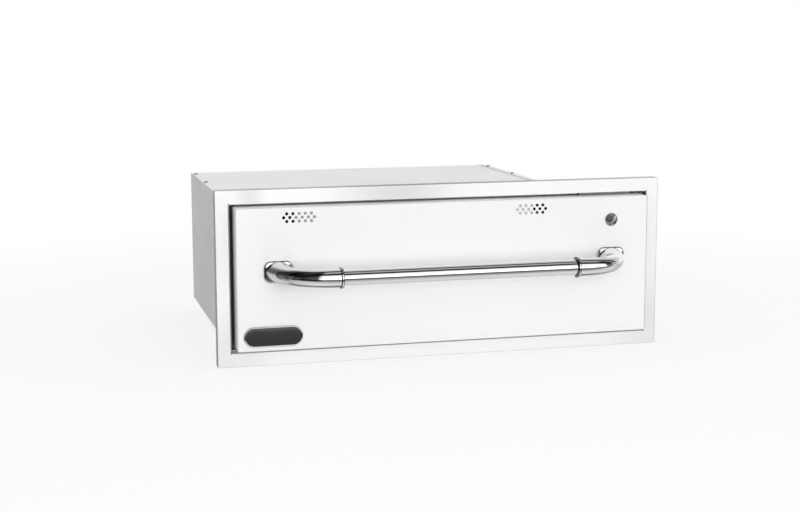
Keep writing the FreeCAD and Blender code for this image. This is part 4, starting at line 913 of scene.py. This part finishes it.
class MakeBadge(bpy.types.Operator):
    """Make the blank badge: a rounded bright rim round a dark domed field"""

    bl_idname = "warming_drawer.badge"
    bl_label = "Blank badge"

    # Share of the rim's height where its outer wall begins, and the tone of the painted shade on that wall.
    RIM_WALL, RIM_WALL_TONE = 0.4, 0.25

    def execute(self, context):
        colour = colours()
        low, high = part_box("badge_rim")
        field_low, field_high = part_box("badge_plate")
        centre = (low + high) / 2
        half_length = (high.x - low.x) / 2
        half_height = (high.z - low.z) / 2
        width = field_low.x - low.x
        middle = Vector((centre.x, 0, centre.z))
        path = rounded_path(middle, half_length - width, half_height - width, half_height - width, 24)
        profile = [(0, high.y)]
        for angle in half_turn(8):
            reach = width / 2 * (1 - math.cos(angle))
            profile.append((reach, high.y - (high.y - low.y) * (0.3 + 0.7 * math.sin(angle))))
        profile.append((width, high.y))
        bm = bmesh.new()
        swept(bm, path, profile)
        polish = polished_steel("badge_rim_polish", tuple(colour.bezel_steel), colour.polish_roughness)
        # Painted shade on the rim's outer wall.
        wall = polish.within(Y_AXIS, low.y + (high.y - low.y) * self.RIM_WALL, 1.0)
        polish.toned(wall, self.RIM_WALL_TONE)
        add_piece("badge_bright_rim", bm, polish, "drawer", ["badge_rim"])

        field_length = (field_high.x - field_low.x) / 2
        field_height = (field_high.z - field_low.z) / 2
        thickness = field_high.y - field_low.y
        rings = [(rounded_radius(field_length, field_height, field_height), 0)]
        crown, crown_height = 0.0012, 0.72
        for inset, height in ((0.0, 0.45), (0.0004, 0.62), (crown, crown_height)):
            short = field_height - inset
            rings.append((rounded_radius(field_length - inset, short, short), thickness * height))
        for share in (0.8, 0.6, 0.4, 0.2, 0.05):
            rise = thickness * (crown_height + (1 - crown_height) * (1 - share**2))
            outline = rounded_radius(field_length - crown, field_height - crown, field_height - crown)
            rings.append((lambda angle, scale=share, edge=outline: edge(angle) * scale, rise))
        bm = bmesh.new()
        place = Vector((centre.x, field_high.y, centre.z))
        turned(bm, rings, 96, facing(place, OUT_FRONT))
        add_piece("badge_dark_field", bm, enamel_field(), "drawer", ["badge_plate"], 50)
        return {"FINISHED"}


class MakePilotLamp(bpy.types.Operator):
    """Finish the lamp bezel and make its domed lens"""

    bl_idname = "warming_drawer.pilot_lamp"
    bl_label = "Pilot lamp"

    # Shares of the ring's radius between which the painted shade on its outer edge fades in, and its tone.
    EDGE_START, EDGE_END, EDGE_TONE = 0.84, 0.88, 0.45
    # Metallic share and roughness of the sight tube's wall.
    TUBE_WALL = (0.3, 0.5)
    # Moulded steps across the lens, and the depth of each second one as a share of its height.
    LENS_STEPS, LENS_RIDGE = 14, 0.02

    def bezel(self, bore):
        """Ring with a rounded brow and a countersunk mouth, on the sight tube."""
        low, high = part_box("lamp_bezel")
        outer = (high.x - low.x) / 2
        length = high.y - low.y
        size = sizes()
        seat = length - size.bezel_height
        rings = [(bore, 0), (size.bezel_tube, 0), (size.bezel_tube, seat), (outer, seat)]
        for share, height in ((1.0, 0.35), (0.985, 0.70), (0.955, 0.92), (0.92, 1.0), (0.885, 0.94)):
            rings.append((outer * share, seat + size.bezel_height * height))
        rings += [(outer * 0.86, seat + size.bezel_height * 0.75), (outer * 0.67, seat)]
        rings += [(bore * 1.08, seat - size.bezel_height), (bore, seat - size.bezel_height * 2)]
        bm = bmesh.new()
        place = middle_at(low, high, high.y)
        turned(bm, rings, 96, facing(place, OUT_FRONT), hollow=True)
        rough = colours().polish_roughness
        polish = polished_steel("bezel_polish", tuple(colours().bezel_steel), rough * 2)
        # Painted shade: a dark outline on the ring's outer edge.
        edge = polish.faded(polish.away(place), outer * self.EDGE_START, outer * self.EDGE_END)
        polish.toned(edge, self.EDGE_TONE)
        wall = polish.within(Y_AXIS, high.y - seat + size.bezel_height, 1.0)
        polish.satin(wall, *self.TUBE_WALL)
        add_piece("lamp_sight_ring", bm, polish, "drawer", ["lamp_bezel"])

    def execute(self, context):
        colour = colours()
        dress(moulded("pilot_amber", tuple(colour.amber), 0.16, coat=0.5), "indicator_lamp")
        low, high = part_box("lamp_lens")
        radius = (high.x - low.x) / 2
        thickness = high.y - low.y
        self.bezel(radius + sizes().lens_gap)
        rings = [(radius, 0), (radius, thickness * 0.45)]
        for step in range(self.LENS_STEPS):
            share = 1 - step / self.LENS_STEPS
            ridge = self.LENS_RIDGE if step % 2 else 0.0
            rings.append((radius * share, thickness * (0.5 + 0.48 * (1 - share**2) - ridge)))
        bm = bmesh.new()
        place = middle_at(low, high, high.y)
        turned(bm, rings, 64, facing(place, OUT_FRONT))
        lens = moulded("smoked_lens", tuple(colour.lens), 0.24, 0.004, 0.000004, 0.25)
        add_piece("lamp_domed_lens", bm, lens, "drawer", ["lamp_lens"], 60)
        return {"FINISHED"}


class DressCasing(bpy.types.Operator):
    """Finish the casing, the control box and the flange behind the trim"""

    bl_idname = "warming_drawer.casing"
    bl_label = "Casing"

    # Tone of the sides' front edges, which stand in shade behind the trim.
    FRONT_EDGE_TONE = 0.05

    def execute(self, context):
        colour = colours()
        steel, rough = tuple(colour.casing_steel), colour.casing_roughness
        sides = mill_steel("casing_side_steel", steel, rough, Z_AXIS)
        edges = 1 - sides.within(Y_AXIS, sizes().folded_edge, 1.0)
        sides.toned(edges, self.FRONT_EDGE_TONE)
        dress(sides, "casing_left_side", "casing_right_side", "control_box")
        flat = mill_steel("casing_flat_steel", steel, rough, X_AXIS)
        dress(flat, "casing_top", "casing_bottom", "casing_back", "control_box_back", "mounting_flange")
        return {"FINISHED"}


class MakeScrews(bpy.types.Operator):
    """Make the cross-recessed screws of the casing and the control panel"""

    bl_idname = "warming_drawer.screws"
    bl_label = "Screws"

    # Height of the head and radius of the shank, as shares of the head's radius.
    HEAD_HEIGHT, SHANK_RADIUS = 0.62, 0.5
    # Arm and half width of the cross recess, at its mouth and at its floor, as the same shares.
    RECESS_MOUTH, RECESS_FLOOR = (0.52, 0.15), (0.30, 0.10)

    def screw(self, bm, low, high, outward):
        """One screw in the box of its solid: threaded shank, washer face and domed head."""
        axis = Y_AXIS if outward.y else Z_AXIS
        head_radius = (high.x - low.x) / 2
        length = high[axis] - low[axis]
        head = head_radius * self.HEAD_HEIGHT
        shank_radius = head_radius * self.SHANK_RADIUS
        seat = (low + high) / 2
        tip = high if outward[axis] < 0 else low
        seat[axis] = tip[axis]
        rings = [(shank_radius * 0.3, 0), (shank_radius * 0.8, length * 0.08)]
        height = length * 0.1
        pitch = sizes().thread_pitch
        while height + pitch < length - head:
            rings += [(shank_radius * 0.84, height), (shank_radius, height + pitch / 2)]
            height += pitch
        base = length - head
        rings += [(shank_radius, base), (head_radius * 0.98, base), (head_radius, base + head * 0.12)]
        for share in (0.94, 0.84, 0.70):
            rings.append((head_radius * share, base + head * (1 - 0.72 * share**3)))
        mouth = cross_radius(*(head_radius * share for share in self.RECESS_MOUTH))
        floor = cross_radius(*(head_radius * share for share in self.RECESS_FLOOR))
        rings += [(mouth, base + head * 0.92), (floor, base + head * 0.38)]
        turned(bm, rings, 48, facing(seat, outward))

    def execute(self, context):
        colour = colours()
        steel = machined_steel("screw_steel_turned", tuple(colour.screw_steel), 0.14)
        bm = bmesh.new()
        for low, high in solids_of("casing_screws"):
            span = high - low
            upright = abs(span.x - span.y) < abs(span.x - span.z)
            self.screw(bm, low, high, UPWARD if upright else OUT_BACK)
        add_piece("casing_cross_screws", bm, steel, "cabinet", ["casing_screws"])
        bm = bmesh.new()
        for low, high in solids_of("control_screws"):
            self.screw(bm, low, high, OUT_FRONT)
        add_piece("control_cross_screws", bm, steel, "cabinet", ["control_screws"])
        dress(steel, "handle_screws", "thermostat_shaft")
        return {"FINISHED"}


class DressDrawerBox(bpy.types.Operator):
    """Finish the pan, its rails and the inside of the front"""

    bl_idname = "warming_drawer.drawer_box"
    bl_label = "Drawer box"

    def execute(self, context):
        colour = colours()
        steel, rough = tuple(colour.liner_steel), colour.casing_roughness
        dress(brushed_steel("pan_brushed", steel, rough - 0.04, X_AXIS, 1.2), "drawer_pan")
        dress(mill_steel("rail_steel", steel, rough, Y_AXIS), "left_drawer_rail", "right_drawer_rail")
        dress(mill_steel("rear_rail_steel", steel, rough, X_AXIS), "drawer_rear_rail")
        satin = mill_steel("inner_pan_satin", tuple(colour.front_steel), rough + 0.12, X_AXIS)
        satin.set({"Metallic": 0.6})
        dress(satin, "front_inner_pan")
        return {"FINISHED"}


class DressSlides(bpy.types.Operator):
    """Finish the ball-bearing slides and their rivets"""

    bl_idname = "warming_drawer.slides"
    bl_label = "Slides"

    def execute(self, context):
        zinc = zinc_plate()
        for side in ("left", "right"):
            dress(zinc, f"{side}_slide_outer", f"{side}_slide_middle", f"{side}_slide_inner")
        dress(zinc, "slide_rivets")
        cage = machined_steel("cage_steel", tuple(colours().screw_steel), 0.22)
        dress(cage, "outer_ball_cages", "inner_ball_cages")
        return {"FINISHED"}


class DressCavity(bpy.types.Operator):
    """Finish the cavity and make the seal round its mouth"""

    bl_idname = "warming_drawer.cavity"
    bl_label = "Cavity and seal"

    # Painted light on the face plate's strip over the mouth, and painted shade on its left strip.
    TOP_STRIP_TONE, LEFT_STRIP_TONE = 1.7, 0.35
    # Metallic share and roughness of the top strip.
    TOP_STRIP = (0.1, 0.6)
    # How far the left strip reaches in from the drawer front's left end, and its fade.
    LEFT_STRIP_REACH, LEFT_STRIP_FADE = 0.010, 0.004

    def face_plate(self, colour):
        """Dull plate round the mouth, darker overall as painted shade, with painted light on its top strip
        and painted shade on its left strip.
        """
        rough = colour.casing_roughness + 0.14
        face = mill_steel("face_mill_steel", tuple(colour.face_steel), rough, X_AXIS)
        left_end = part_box("drawer_front")[0].x + self.LEFT_STRIP_REACH
        left = 1 - face.within(X_AXIS, left_end, 1.0, self.LEFT_STRIP_FADE)
        top = face.within(Z_AXIS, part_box("cavity_liner")[1].z, 1.0) * (1 - left)
        face.satin(top, *self.TOP_STRIP)
        # Painted light on the top strip and painted shade on the left strip.
        face.toned(top, self.TOP_STRIP_TONE)
        face.toned(left, self.LEFT_STRIP_TONE)
        dress(face, "face_plate")

    def seal(self):
        """Bulb seal on a flat foot, round the mouth."""
        low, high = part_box("mouth_gasket")
        depth = high.y - low.y
        half = sizes().seal_width / 2
        corner = sizes().seal_corner + half
        centre = middle_at(low, high, 0)
        half_width, half_height = (high.x - low.x) / 2, (high.z - low.z) / 2
        path = rounded_path(centre, half_width - half, half_height - half, corner, 8)
        profile = [(-half, high.y), (-half, high.y - depth * 0.18), (-half * 0.72, high.y - depth * 0.26)]
        for angle in half_turn(10):
            bulge = half * 0.94 * -math.cos(angle)
            profile.append((bulge, low.y + depth * 0.62 * (1 - math.sin(angle))))
        profile += [(half * 0.72, high.y - depth * 0.26), (half, high.y - depth * 0.18), (half, high.y)]
        bm = bmesh.new()
        swept(bm, path, profile)
        add_piece("mouth_bulb_seal", bm, silicone_seal(), "cabinet", ["mouth_gasket"])

    def execute(self, context):
        colour = colours()
        steel, rough = tuple(colour.liner_steel), colour.casing_roughness
        dress(mill_steel("liner_mill_steel", steel, rough, Y_AXIS), "cavity_liner", "element_brackets")
        dress(mill_steel("guard_mill_steel", steel, rough, X_AXIS), "element_guard")
        self.face_plate(colour)
        self.seal()
        return {"FINISHED"}


class DressHeater(bpy.types.Operator):
    """Finish the heating element and the thermostat's sensor"""

    bl_idname = "warming_drawer.heater"
    bl_label = "Heating element"

    def execute(self, context):
        dress(tempered_sheath(), "heating_element")
        dress(drawn_copper(), "thermostat_sensor")
        return {"FINISHED"}


class MakeControls(bpy.types.Operator):
    """Make the knob and the printed dial, and finish the control gear"""

    bl_idname = "warming_drawer.controls"
    bl_label = "Controls"

    # The dial turns through one step for each number after OFF, which stands at the top.
    NUMBERS = 6
    STEP = math.radians(45)
    # Its reaches and tick lengths, as shares of the knob's radius.
    BAND_INNER, BAND_OUTER, BAND_GROWTH = 1.13, 1.145, 0.075
    TICK_REACH, TICK_LENGTH, WORD_REACH = 1.30, 0.055, 1.58
    TICK_WIDTH = 0.00035
    BAND_CELLS = 90

    def knob(self):
        """Fluted skirt that runs into a bar grip, with a pointer line inlaid in the bar."""
        low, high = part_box("thermostat_knob")
        radius = (high.x - low.x) / 2
        length = high.y - low.y
        size = sizes()
        skirt = length * 0.24
        rim = fluted_radius(radius, size.skirt_flutes, size.skirt_flute)
        rings = [(radius * 0.90, 0), (radius * 0.985, 0), (rim, length * 0.02), (rim, skirt * 0.72)]
        rings += [(radius * 0.955, skirt * 0.94), (radius * 0.90, skirt)]
        for width, reach, height in ((0.50, 0.86, 0.27), (0.36, 0.82, 0.34), (0.31, 0.80, 0.60)):
            rings.append((oval_radius(radius * width, radius * reach, 4.0), length * height))
        for shrink, height in ((0.985, 0.90), (0.95, 0.965), (0.88, 1.0)):
            outline = oval_radius(radius * 0.30 * shrink, radius * 0.79 * shrink**0.5, 4.0)
            rings.append((outline, length * height))
        rings.append((oval_radius(radius * 0.14, radius * 0.50, 4.0), length))
        bm = bmesh.new()
        centre = middle_at(low, high, high.y)
        turned(bm, rings, size.skirt_flutes * 6, facing(centre, OUT_FRONT))
        phenolic = moulded("phenolic", tuple(colours().phenolic), 0.34, 0.0006, 0.000012)
        add_piece("temperature_grip", bm, phenolic, "temperature_knob", ["thermostat_knob"])
        line = oval_radius(size.pointer_width / 2, radius * 0.24, 6.0)
        bm = bmesh.new()
        tip = centre + OUT_FRONT * (length - size.print_depth) + UPWARD * radius * 0.46
        turned(bm, [(line, 0), (line, size.print_depth * 2)], 32, facing(tip, OUT_FRONT))
        ink = dial_ink("pointer_paint", tuple(colours().pointer_ink))
        add_piece("temperature_pointer", bm, ink, "temperature_knob")
        return centre, radius

    def dial(self, centre, radius, ink):
        """Printed scale: a band that grows with the heat, ticks, numbers and OFF."""
        depth = sizes().print_depth
        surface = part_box("control_panel")[0].y
        base = Vector((centre.x, surface, centre.z))
        bm = bmesh.new()
        sweep = self.STEP * (self.NUMBERS - 1)
        inner, outer = [], []
        for index in range(self.BAND_CELLS + 1):
            share = index / self.BAND_CELLS
            ray = spoke(math.pi / 2 - self.STEP - sweep * share)
            inner.append(ray * (radius * self.BAND_INNER))
            outer.append(ray * (radius * (self.BAND_OUTER + self.BAND_GROWTH * share)))
        outline = inner + outer[::-1]
        lower = [bm.verts.new(base + point) for point in outline]
        upper = [bm.verts.new(base + point + OUT_FRONT * depth) for point in outline]
        quads_between(bm, lower, upper)
        count = len(outline)
        for index in range(self.BAND_CELLS):
            mirrored = count - 1 - index
            bm.faces.new((upper[index], upper[index + 1], upper[mirrored - 1], upper[mirrored]))
            bm.faces.new((lower[mirrored], lower[mirrored - 1], lower[index + 1], lower[index]))
        angles = [math.pi / 2 - self.STEP * index for index in range(self.NUMBERS + 1)]
        for angle in angles:
            place = base + spoke(angle) * (radius * self.TICK_REACH)
            placing = facing(place, OUT_FRONT) @ Matrix.Rotation(angle, 4, "Z")
            mark = oval_radius(radius * self.TICK_LENGTH, self.TICK_WIDTH, 6.0)
            turned(bm, [(mark, 0), (mark, depth)], 24, placing)
        add_piece("dial_scale", bm, ink, "cabinet")
        for index, angle in enumerate(angles):
            words = str(index) if index else "OFF"
            self.print_words(words, base + spoke(angle) * (radius * self.WORD_REACH), ink)

    def print_words(self, words, place, ink):
        """One number or word of the dial."""
        size = sizes()
        text = bpy.data.curves.new(f"dial_{words}", "FONT")
        text.body = words
        text.align_x = "CENTER"
        text.align_y = "CENTER"
        text.size = size.print_height
        text.extrude = size.print_depth
        text.materials.append(ink.material)
        piece = bpy.data.objects.new(f"dial_{words}", text)
        bpy.context.scene.collection.objects.link(piece)
        piece.matrix_world = facing(place, OUT_FRONT)
        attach(piece, "cabinet")

    def execute(self, context):
        colour = colours()
        steel, rough = tuple(colour.liner_steel), colour.casing_roughness
        dress(brushed_steel("control_brushed", steel, rough - 0.04, X_AXIS), "control_panel")
        centre, radius = self.knob()
        self.dial(centre, radius, dial_ink("dial_print", tuple(colour.print_ink)))
        zinc = machined_steel("control_zinc", tuple(colour.zinc), 0.30)
        dress(zinc, "thermostat_body", "thermal_cutout")
        dress(moulded("terminal_nylon", tuple(colour.nylon), 0.42), "terminal_block")
        return {"FINISHED"}


class MakeGland(bpy.types.Operator):
    """Make the ribbed cable gland"""

    bl_idname = "warming_drawer.gland"
    bl_label = "Cable gland"

    def execute(self, context):
        low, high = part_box("cable_gland")
        wall_front, wall_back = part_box("control_box_back")[0].y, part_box("control_box_back")[1].y
        nut = (high.x - low.x) / 2
        bore, thread, pitch = 0.0045, 0.010, 0.001
        root = thread * 0.93
        lock_nut, shoulder, rib_depth = 0.0048, 0.0042, 0.0009
        length = high.y - low.y
        wall = wall_front - low.y
        face = wall_back - low.y
        hexagon = hexagon_radius(nut)
        ribbed = fluted_radius(nut * 0.93, sizes().gland_ribs, rib_depth)
        # The thread inside the box, up to its lock nut.
        rings = [(bore, 0), (thread * 0.94, 0)]
        height = 0.0008
        while height < wall - 0.0052:
            rings += [(thread, height), (root, height + pitch / 2)]
            height += pitch
        rings += [(root, wall - lock_nut), (hexagon, wall - lock_nut), (hexagon, wall)]
        # Through the wall to the outer hexagon.
        rings += [(thread, wall), (thread, face), (hexagon, face), (hexagon, face + shoulder)]
        # The ribbed cap, with its rounded mouth.
        rings += [(nut * 0.84, face + 0.0048), (nut * 0.82, face + 0.0056), (ribbed, face + 0.0062)]
        rings += [(ribbed, length - 0.0052), (nut * 0.80, length - 0.0026), (nut * 0.64, length - 0.0008)]
        rings += [(bore * 1.5, length), (bore * 1.18, length - 0.0004), (bore, length - 0.0016)]
        bm = bmesh.new()
        place = middle_at(low, high, low.y)
        turned(bm, rings, 96, facing(place, OUT_BACK), hollow=True)
        nylon = moulded("gland_nylon", tuple(colours().black_nylon), 0.40, 0.0008, 0.00002)
        add_piece("entry_gland", bm, nylon, "cabinet", ["cable_gland"])
        return {"FINISHED"}


class MakeInsulation(bpy.types.Operator):
    """Make the uneven glass-wool blankets"""

    bl_idname = "warming_drawer.insulation"
    bl_label = "Insulation"

    # How many times per metre the matting rises and falls.
    TUFTS_PER_METRE = 60

    def blanket(self, node, wool, body):
        """A copy of a blanket's solid, cut into cells and with its surface matted inward."""
        size = sizes()
        bm = bmesh.new()
        bm.from_mesh(NODES[node].data)
        bmesh.ops.remove_doubles(bm, verts=bm.verts, dist=MERGE_DISTANCE)
        low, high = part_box(node)
        for axis in range(3):
            across = Vector([float(part == axis) for part in range(3)])
            cuts = int((high[axis] - low[axis]) / size.wool_cell)
            for cut in range(1, cuts):
                place = low + (high - low) * (cut / cuts)
                whole = bm.verts[:] + bm.edges[:] + bm.faces[:]
                bmesh.ops.bisect_plane(
                    bm, geom=whole, dist=MERGE_DISTANCE, plane_co=place, plane_no=across
                )
        bm.normal_update()
        for vertex in bm.verts:
            tuft = 0.5 + 0.5 * noise.noise(vertex.co * self.TUFTS_PER_METRE)
            vertex.co -= vertex.normal * (size.wool_loft * tuft)
        name = node.replace("insulation", "wool_blanket")
        add_piece(name, bm, wool, body, [node], 70)

    def execute(self, context):
        wool = bonded_wool()
        for side in ("left", "right", "top", "bottom", "back"):
            self.blanket(f"insulation_{side}", wool, "cabinet")
        self.blanket("front_insulation", wool, "drawer")
        return {"FINISHED"}


class MakeStudio(bpy.types.Operator):
    """Make the floor, the light and the camera"""

    bl_idname = "warming_drawer.studio"
    bl_label = "Studio"

    # What polished metal sees, by the angle over the X axis in degrees: 0 is level in front,
    # 90 is overhead, 180 is level behind and -90 is straight down.
    SURROUNDINGS = (
        (-180, 0.66),
        (-173, 0.70),
        (-164, 0.60),
        (-150, 0.53),
        (-112, 0.55),
        (-98, 0.72),
        (-56, 0.74),
        (-46, 0.55),
        (-28, 0.30),
        (-18, 0.10),
        (-7, 0.09),
        (-1, 2.10),
        (9, 2.10),
        (14, 1.12),
        (41, 1.12),
        (47, 0.03),
        (66, 0.03),
        (71, 0.42),
        (86, 0.42),
        (91, 0.05),
        (103, 0.05),
        (110, 0.50),
        (145, 0.76),
        (165, 1.0),
        (176, 1.0),
        (180, 0.80),
    )
    # Dark screens on the left and on the right, by the angle in degrees from straight in
    # front, with the right counted positive.
    LEFT_SCREENS = (
        (-180, 1.0),
        (-158, 0.95),
        (-148, 0.35),
        (-120, 0.25),
        (-108, 0.40),
        (-100, 0.12),
        (-90, 0.28),
        (-84, 0.08),
        (-70, 0.16),
        (-62, 0.05),
        (-29, 0.05),
        (-18, 1.0),
    )
    RIGHT_SCREENS = (
        (61, 1.0),
        (64, 0.08),
        (80, 0.08),
        (88, 1.0),
    )
    # Soft grey boards in front, by the same angle.
    BOARDS = (
        (22.6, 1.0),
        (24.5, 0.75),
        (26.5, 1.0),
    )
    # Level straight to the left and right, where it fades in by the share across and upward.
    SIDE_LEVEL = 0.50
    SIDE_ACROSS, SIDE_UP = (0.955, 0.98), (0.03, 0.14)
    # Where the screens begin and end, by the share upward.
    LEFT_FOOT = (-0.62, -0.28)
    RIGHT_FOOT, RIGHT_TOP = (-0.12, 0.04), (0.70, 0.85)

    def light(self):
        """World: even light, a white backdrop for the camera, and screens seen in metal."""
        world = bpy.data.worlds.new("studio_light")
        bpy.context.scene.world = world
        world.use_nodes = True
        world.node_tree.nodes.clear()
        shader = Shader(world.node_tree)
        direction = shader.node("ShaderNodeTexCoord")
        across = shader.node("ShaderNodeSeparateXYZ", inputs={0: direction}, output=0)
        back = shader.node("ShaderNodeSeparateXYZ", inputs={0: direction}, output=1)
        up = shader.node("ShaderNodeSeparateXYZ", inputs={0: direction}, output=2)
        brightest = max(level for degrees, level in self.SURROUNDINGS)
        bands = self.ring(shader, up, 0 - back, self.SURROUNDINGS, brightest)
        left = self.ring(shader, across, 0 - back, self.LEFT_SCREENS, 1.0)
        right = self.ring(shader, across, 0 - back, self.RIGHT_SCREENS, 1.0)
        boards = self.ring(shader, across, 0 - back, self.BOARDS, 1.0)
        white = (1.0, 1.0, 1.0)
        right_tall = shader.faded(up, *self.RIGHT_FOOT) * (1 - shader.faded(up, *self.RIGHT_TOP))
        left = shader.mix(shader.faded(up, *self.LEFT_FOOT), white, left)
        right = shader.mix(right_tall, white, right)
        mirrored = bands * left * right * boards * (brightest, brightest, brightest)
        aside = shader.faded(abs(across), *self.SIDE_ACROSS) * shader.faded(up, *self.SIDE_UP)
        mirrored = shader.mix(aside, mirrored, (self.SIDE_LEVEL,) * 3)
        glossy, transmitted = self.ray(shader, "Glossy"), self.ray(shader, "Transmission")
        metal = shader.node("ShaderNodeMath", {"operation": "MAXIMUM"}, {0: glossy, 1: transmitted})
        even = (studio().sky_light,) * 3
        colour = shader.mix(metal, even, mirrored)
        colour = shader.mix(self.ray(shader, "Camera"), colour, white)
        background = shader.node("ShaderNodeBackground", inputs={"Color": colour, "Strength": 1.0})
        shader.node("ShaderNodeOutputWorld", inputs={"Surface": background})

    def ring(self, shader, side, front, stops, most):
        """Levels round a circle, from stops of (degrees, level), as a share of the most."""
        angle = shader.node("ShaderNodeMath", {"operation": "ARCTAN2"}, {0: side, 1: front})
        shares = [((degrees + 180) / 360, level / most) for degrees, level in stops]
        return shader.node("ShaderNodeValToRGB", {"stops": shares}, {0: angle / (2 * math.pi) + 0.5})

    def ray(self, shader, name):
        """1 for rays of one kind, from the Light Path node."""
        outputs = ("Camera", "Shadow", "Diffuse", "Glossy", "Singular", "Reflection", "Transmission")
        return shader.node("ShaderNodeLightPath", output=outputs.index(name))

    def floor(self):
        """Plain pale floor that keeps the object's shadow."""
        bm = bmesh.new()
        reach = studio().floor_radius
        rings = [(reach * share**2, -0.002 * share) for share in (1.0, 0.7, 0.4, 0.2, 0.05)]
        turned(bm, rings, 96, Matrix.Translation((0, 0, FLOOR_HEIGHT)))
        mesh = bpy.data.meshes.new("floor")
        bm.to_mesh(mesh)
        bm.free()
        floor = bpy.data.objects.new("floor", mesh)
        bpy.context.scene.collection.objects.link(floor)
        floor.visible_glossy = False
        finish = Finish("floor_paint", {"Roughness": 0.9, "Specular IOR Level": 0.1})
        mottle = finish.cloud(0.5)
        colour = finish.shaded(tuple(studio().floor_colour), 0.995 + mottle * 0.01)
        finish.set({"Base Color": colour})
        glow = finish.node("ShaderNodeEmission", inputs={"Color": (1.0, 1.0, 1.0), "Strength": 1.0})
        away = finish.node("ShaderNodeVectorMath", {"operation": "LENGTH"}, {0: finish.place()}, 1)
        near, far = studio().floor_glow, studio().shadow_reach
        glowing = near + finish.faded(away, far * 0.5, far) * (1 - near)
        share = self.ray(finish, "Camera") * glowing
        painted = Signal(finish, finish.surface.outputs[0])
        seen = finish.node("ShaderNodeMixShader", inputs={0: share, 1: painted, 2: glow})
        finish.feed(finish.tree.nodes["Material Output"].inputs["Surface"], seen)
        mesh.materials.append(finish.material)

    def lamp(self):
        """One large soft lamp in front, turned to the middle of the trim."""
        data = bpy.data.lights.new("key_lamp", "AREA")
        data.shape = "SQUARE"
        data.size = studio().key_width
        data.energy = studio().key_power
        lamp = bpy.data.objects.new("key_lamp", data)
        bpy.context.scene.collection.objects.link(lamp)
        place = Vector(studio().key_place)
        lamp.location = place
        lamp.rotation_euler = (-place).to_track_quat("-Z", "Y").to_euler()
        lamp.visible_glossy = False

    def camera(self):
        """Camera a little to the left of the drawer and above it."""
        settings = studio()
        data = bpy.data.cameras.new("camera")
        data.lens = settings.camera_lens
        data.sensor_width = 36.0
        data.clip_start = 0.05
        data.clip_end = 200.0
        camera = bpy.data.objects.new("camera", data)
        bpy.context.scene.collection.objects.link(camera)
        camera.matrix_world = (
            Matrix.Translation(settings.camera_place)
            @ Matrix.Rotation(-settings.camera_yaw, 4, "Z")
            @ Matrix.Rotation(math.radians(90) - settings.camera_pitch, 4, "X")
            @ Matrix.Rotation(settings.camera_roll, 4, "Z")
        )
        bpy.context.scene.camera = camera

    def execute(self, context):
        self.light()
        self.floor()
        self.lamp()
        self.camera()
        settings = bpy.context.scene.view_settings
        settings.view_transform = "Standard"
        return {"FINISHED"}


class WarmingDrawerPanel(bpy.types.Panel):
    """Lists the steps and the values that they use"""

    bl_idname = "VIEW3D_PT_warming_drawer"
    bl_label = "Warming Drawer"
    bl_space_type = "VIEW_3D"
    bl_region_type = "UI"
    bl_category = "Warming Drawer"

    def draw(self, context):
        for operator in OPERATORS:
            self.layout.operator(operator.bl_idname)
        scene = context.scene
        for group in (scene.warming_drawer_colours, scene.warming_drawer_sizes, scene.warming_drawer_studio):
            box = self.layout.box()
            for name in group.__annotations__:
                box.prop(group, name)


GROUPS = {
    "warming_drawer_colours": WarmingDrawerColours,
    "warming_drawer_sizes": WarmingDrawerSizes,
    "warming_drawer_studio": WarmingDrawerStudio,
}
OPERATORS = (
    DressFront,
    DressHandle,
    MakeBadge,
    MakePilotLamp,
    DressCasing,
    MakeScrews,
    DressDrawerBox,
    DressSlides,
    DressCavity,
    DressHeater,
    MakeControls,
    MakeGland,
    MakeInsulation,
    MakeStudio,
)


def register():
    for name, group in GROUPS.items():
        bpy.utils.register_class(group)
        setattr(bpy.types.Scene, name, bpy.props.PointerProperty(type=group))
    for operator in OPERATORS:
        bpy.utils.register_class(operator)
    bpy.utils.register_class(WarmingDrawerPanel)


def unregister():
    bpy.utils.unregister_class(WarmingDrawerPanel)
    for operator in reversed(OPERATORS):
        bpy.utils.unregister_class(operator)
    for name, group in reversed(GROUPS.items()):
        delattr(bpy.types.Scene, name)
        bpy.utils.unregister_class(group)


def main():
    register()
    for operator in OPERATORS:
        family, name = operator.bl_idname.split(".")
        getattr(getattr(bpy.ops, family), name)()


if __name__ == "__main__":
    main()
